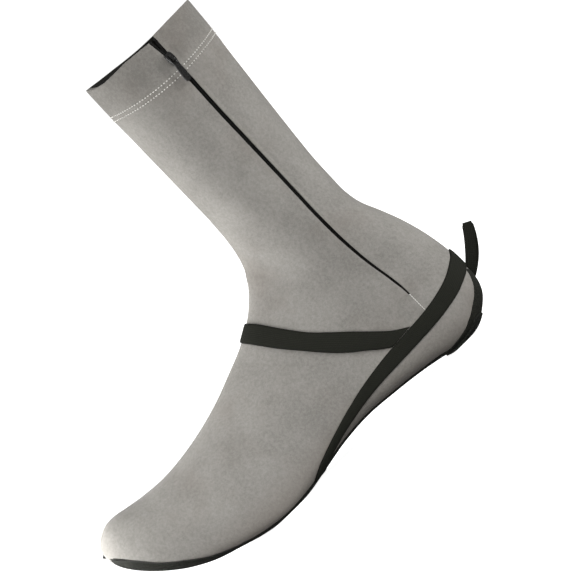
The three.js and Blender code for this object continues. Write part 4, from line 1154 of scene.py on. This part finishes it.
def make_loop():
    """The heel loop: one ribbon folded at its end, its two legs side by side."""
    root = skin(t_at_heel_height(LOOP_ROOT * INSTEP_HEIGHT), 0.0)
    steps, fold_steps, columns = 40, 12, 12
    start, end = math.radians(LOOP_START_ANGLE), math.radians(LOOP_END_ANGLE)
    whole = LOOP_LENGTH + LOOP_BURIED
    place = np.array([root[0], root[2]]) - LOOP_BURIED * np.array([math.cos(start), math.sin(start)])
    middle = []
    for i in range(steps + 1):
        share = i / steps
        slope = mix(start, end, share)
        along = np.array([math.cos(slope), math.sin(slope)])
        half = LOOP_THICKNESS / 2 + LOOP_GAP / 2 * (0.2 + 0.8 * math.sin(math.pi * share ** 0.7))
        middle.append((place.copy(), along, half, share))
        place = place + along * whole / steps
    last_place, last_along, fold, _ = middle[-1]
    stations = [(p, a, -half, share) for p, a, half, share in middle]
    for k in range(1, fold_steps):
        turn = k / fold_steps * math.pi
        past_end = last_place + last_along * fold * math.sin(turn)
        stations.append((past_end, last_along, -fold * math.cos(turn), 1))
    stations += [(p, a, half, share) for p, a, half, share in reversed(middle)]
    rows = []
    for p, along, y, share in stations:
        up = np.array([-along[1], 0, along[0]])
        to_tip = min(1, (1 - share) * whole / LOOP_TIP)
        width = LOOP_WIDTH / 2 * (0.82 + 0.18 * math.sqrt(1 - (1 - to_tip) ** 2))
        spread = up * LEG_SPREAD * math.sin(math.pi * share) * (0.5 if y < 0 else -0.5)
        centre = np.array([p[0], y, p[1]]) + spread
        rows.append([centre + up * width * s for s in np.linspace(-1, 1, columns + 1)])
    piece = cloth("heel_loop_ribbon", np.array(rows))
    thicken(piece, LOOP_THICKNESS - 0.1, offset=0)
    round_edges(piece, 0.22)
    return finish_piece(piece, [LOOP_ELASTIC], replaces=["pull_loop"])


make_upper()
make_sole()
make_patch()
make_strap("heel_strap_band", (HEEL_STRAP_TOP, HEEL_STRAP_BOTTOM, HEEL_CROSSING), 0.0, 110,
           HEEL_ELASTIC, ["heel_strap"])
make_strap("instep_strap_band", (INSTEP_STRAP_TOP, INSTEP_STRAP_BOTTOM, INSTEP_CROSSING), math.pi, 90,
           INSTEP_ELASTIC, ["instep_strap"])
make_tape()
make_coil()
make_open_rows()
make_hem_stitches()
make_seam_stitches()
make_overlock()
make_loop()

# Slider and pull keep their CAD shapes and get a black enamelled finish
for node_name in ("zip_slider", "zip_pull"):
    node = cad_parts[node_name]
    node.data.materials.clear()
    node.data.materials.append(METAL)

# Studio: a pale floor, white surroundings and soft lights
PHOTO_WIDTH = 572
PHOTO_MM_PER_PIXEL = 0.63
PHOTO_ROLL = math.radians(43.9)
VIEW_HEIGHT = math.radians(2.2)
VIEW_DISTANCE = 12000.0
SENSOR = 36.0
LOOK_AT = np.array([201.2 - HEEL_REST, 0.0, 103.4])


def make_camera():
    data = bpy.data.cameras.new("camera")
    data.sensor_width = SENSOR
    data.lens = SENSOR * VIEW_DISTANCE / (PHOTO_WIDTH * PHOTO_MM_PER_PIXEL)
    data.clip_end = 50
    camera = bpy.data.objects.new("camera", data)
    bpy.context.scene.collection.objects.link(camera)
    forward = np.array([0, math.cos(VIEW_HEIGHT), -math.sin(VIEW_HEIGHT)])
    level_right = np.array([1.0, 0, 0])
    level_up = np.cross(level_right, forward)
    right = level_right * math.cos(PHOTO_ROLL) - level_up * math.sin(PHOTO_ROLL)
    up = level_right * math.sin(PHOTO_ROLL) + level_up * math.cos(PHOTO_ROLL)
    place = (LOOK_AT - forward * VIEW_DISTANCE) * MM
    matrix = Matrix([[right[k], up[k], -forward[k], place[k]] for k in range(3)] + [[0, 0, 0, 1]])
    camera.matrix_world = matrix
    bpy.context.scene.camera = camera


def make_floor():
    """A pale table that glows a little, so that hardly a shadow shows, as in a light tent."""
    deselect_all()
    bpy.ops.mesh.primitive_circle_add(vertices=96, radius=9, fill_type="NGON", location=(0, 0, 0))
    floor = bpy.context.object
    floor.name = "studio_floor"
    finish = Finish("floor_paint", Roughness=0.9, Specular_IOR_Level=0.1, Emission_Strength=1.05)
    tone = finish.noise(0.5, detail=2)
    paint = finish.blend(tone, (0.9, 0.9, 0.895, 1), (0.93, 0.93, 0.925, 1))
    finish.feed("Base Color", paint)
    finish.feed("Emission Color", paint)
    floor.data.materials.append(finish.material)
    floor.visible_diffuse = False
    floor.visible_glossy = False


def add_light(name, place, size, power):
    data = bpy.data.lights.new(name, "AREA")
    data.shape = "DISK"
    data.size = size
    data.energy = power
    light = bpy.data.objects.new(name, data)
    bpy.context.scene.collection.objects.link(light)
    light.location = place
    light.visible_camera = False
    aim = Vector((-0.06, 0, 0.12)) - Vector(place)
    light.rotation_euler = aim.to_track_quat("-Z", "Y").to_euler()


def make_lights():
    """A light tent: white to the camera, softer from the sides and dimmest from below."""
    world = bpy.data.worlds.new("studio")
    bpy.context.scene.world = world
    world.use_nodes = True
    tree = world.node_tree
    background = tree.nodes["Background"]
    seen = tree.nodes.new("ShaderNodeLightPath")
    direction = tree.nodes.new("ShaderNodeTexCoord")
    height = tree.nodes.new("ShaderNodeSeparateXYZ")
    glow = tree.nodes.new("ShaderNodeMapRange")
    glow.inputs["From Min"].default_value = -0.4
    glow.inputs["From Max"].default_value = 0.3
    glow.inputs["To Min"].default_value = 0.14
    glow.inputs["To Max"].default_value = 0.5
    pick = tree.nodes.new("ShaderNodeMix")
    pick.inputs["B"].default_value = 1.1
    tree.links.new(direction.outputs["Generated"], height.inputs[0])
    tree.links.new(height.outputs["Z"], glow.inputs["Value"])
    tree.links.new(glow.outputs[0], pick.inputs["A"])
    tree.links.new(seen.outputs["Is Camera Ray"], pick.inputs["Factor"])
    tree.links.new(pick.outputs["Result"], background.inputs["Strength"])
    background.inputs["Color"].default_value = (1, 1, 1, 1)
    add_light("toe_light", (-0.75, -0.45, 0.16), 0.5, 4.6)
    add_light("near_fill", (0.5, -2.4, 1.0), 1.6, 14)
    add_light("heel_light", (1.9, -0.7, 0.35), 1.0, 38)
    add_light("rim_light", (-1.4, 1.0, 0.9), 0.9, 5)
    add_light("toe_rim", (-0.41, 0.04, 0.13), 0.2, 1.4)


make_camera()
make_floor()
make_lights()
bpy.context.scene.view_settings.view_transform = "Standard"
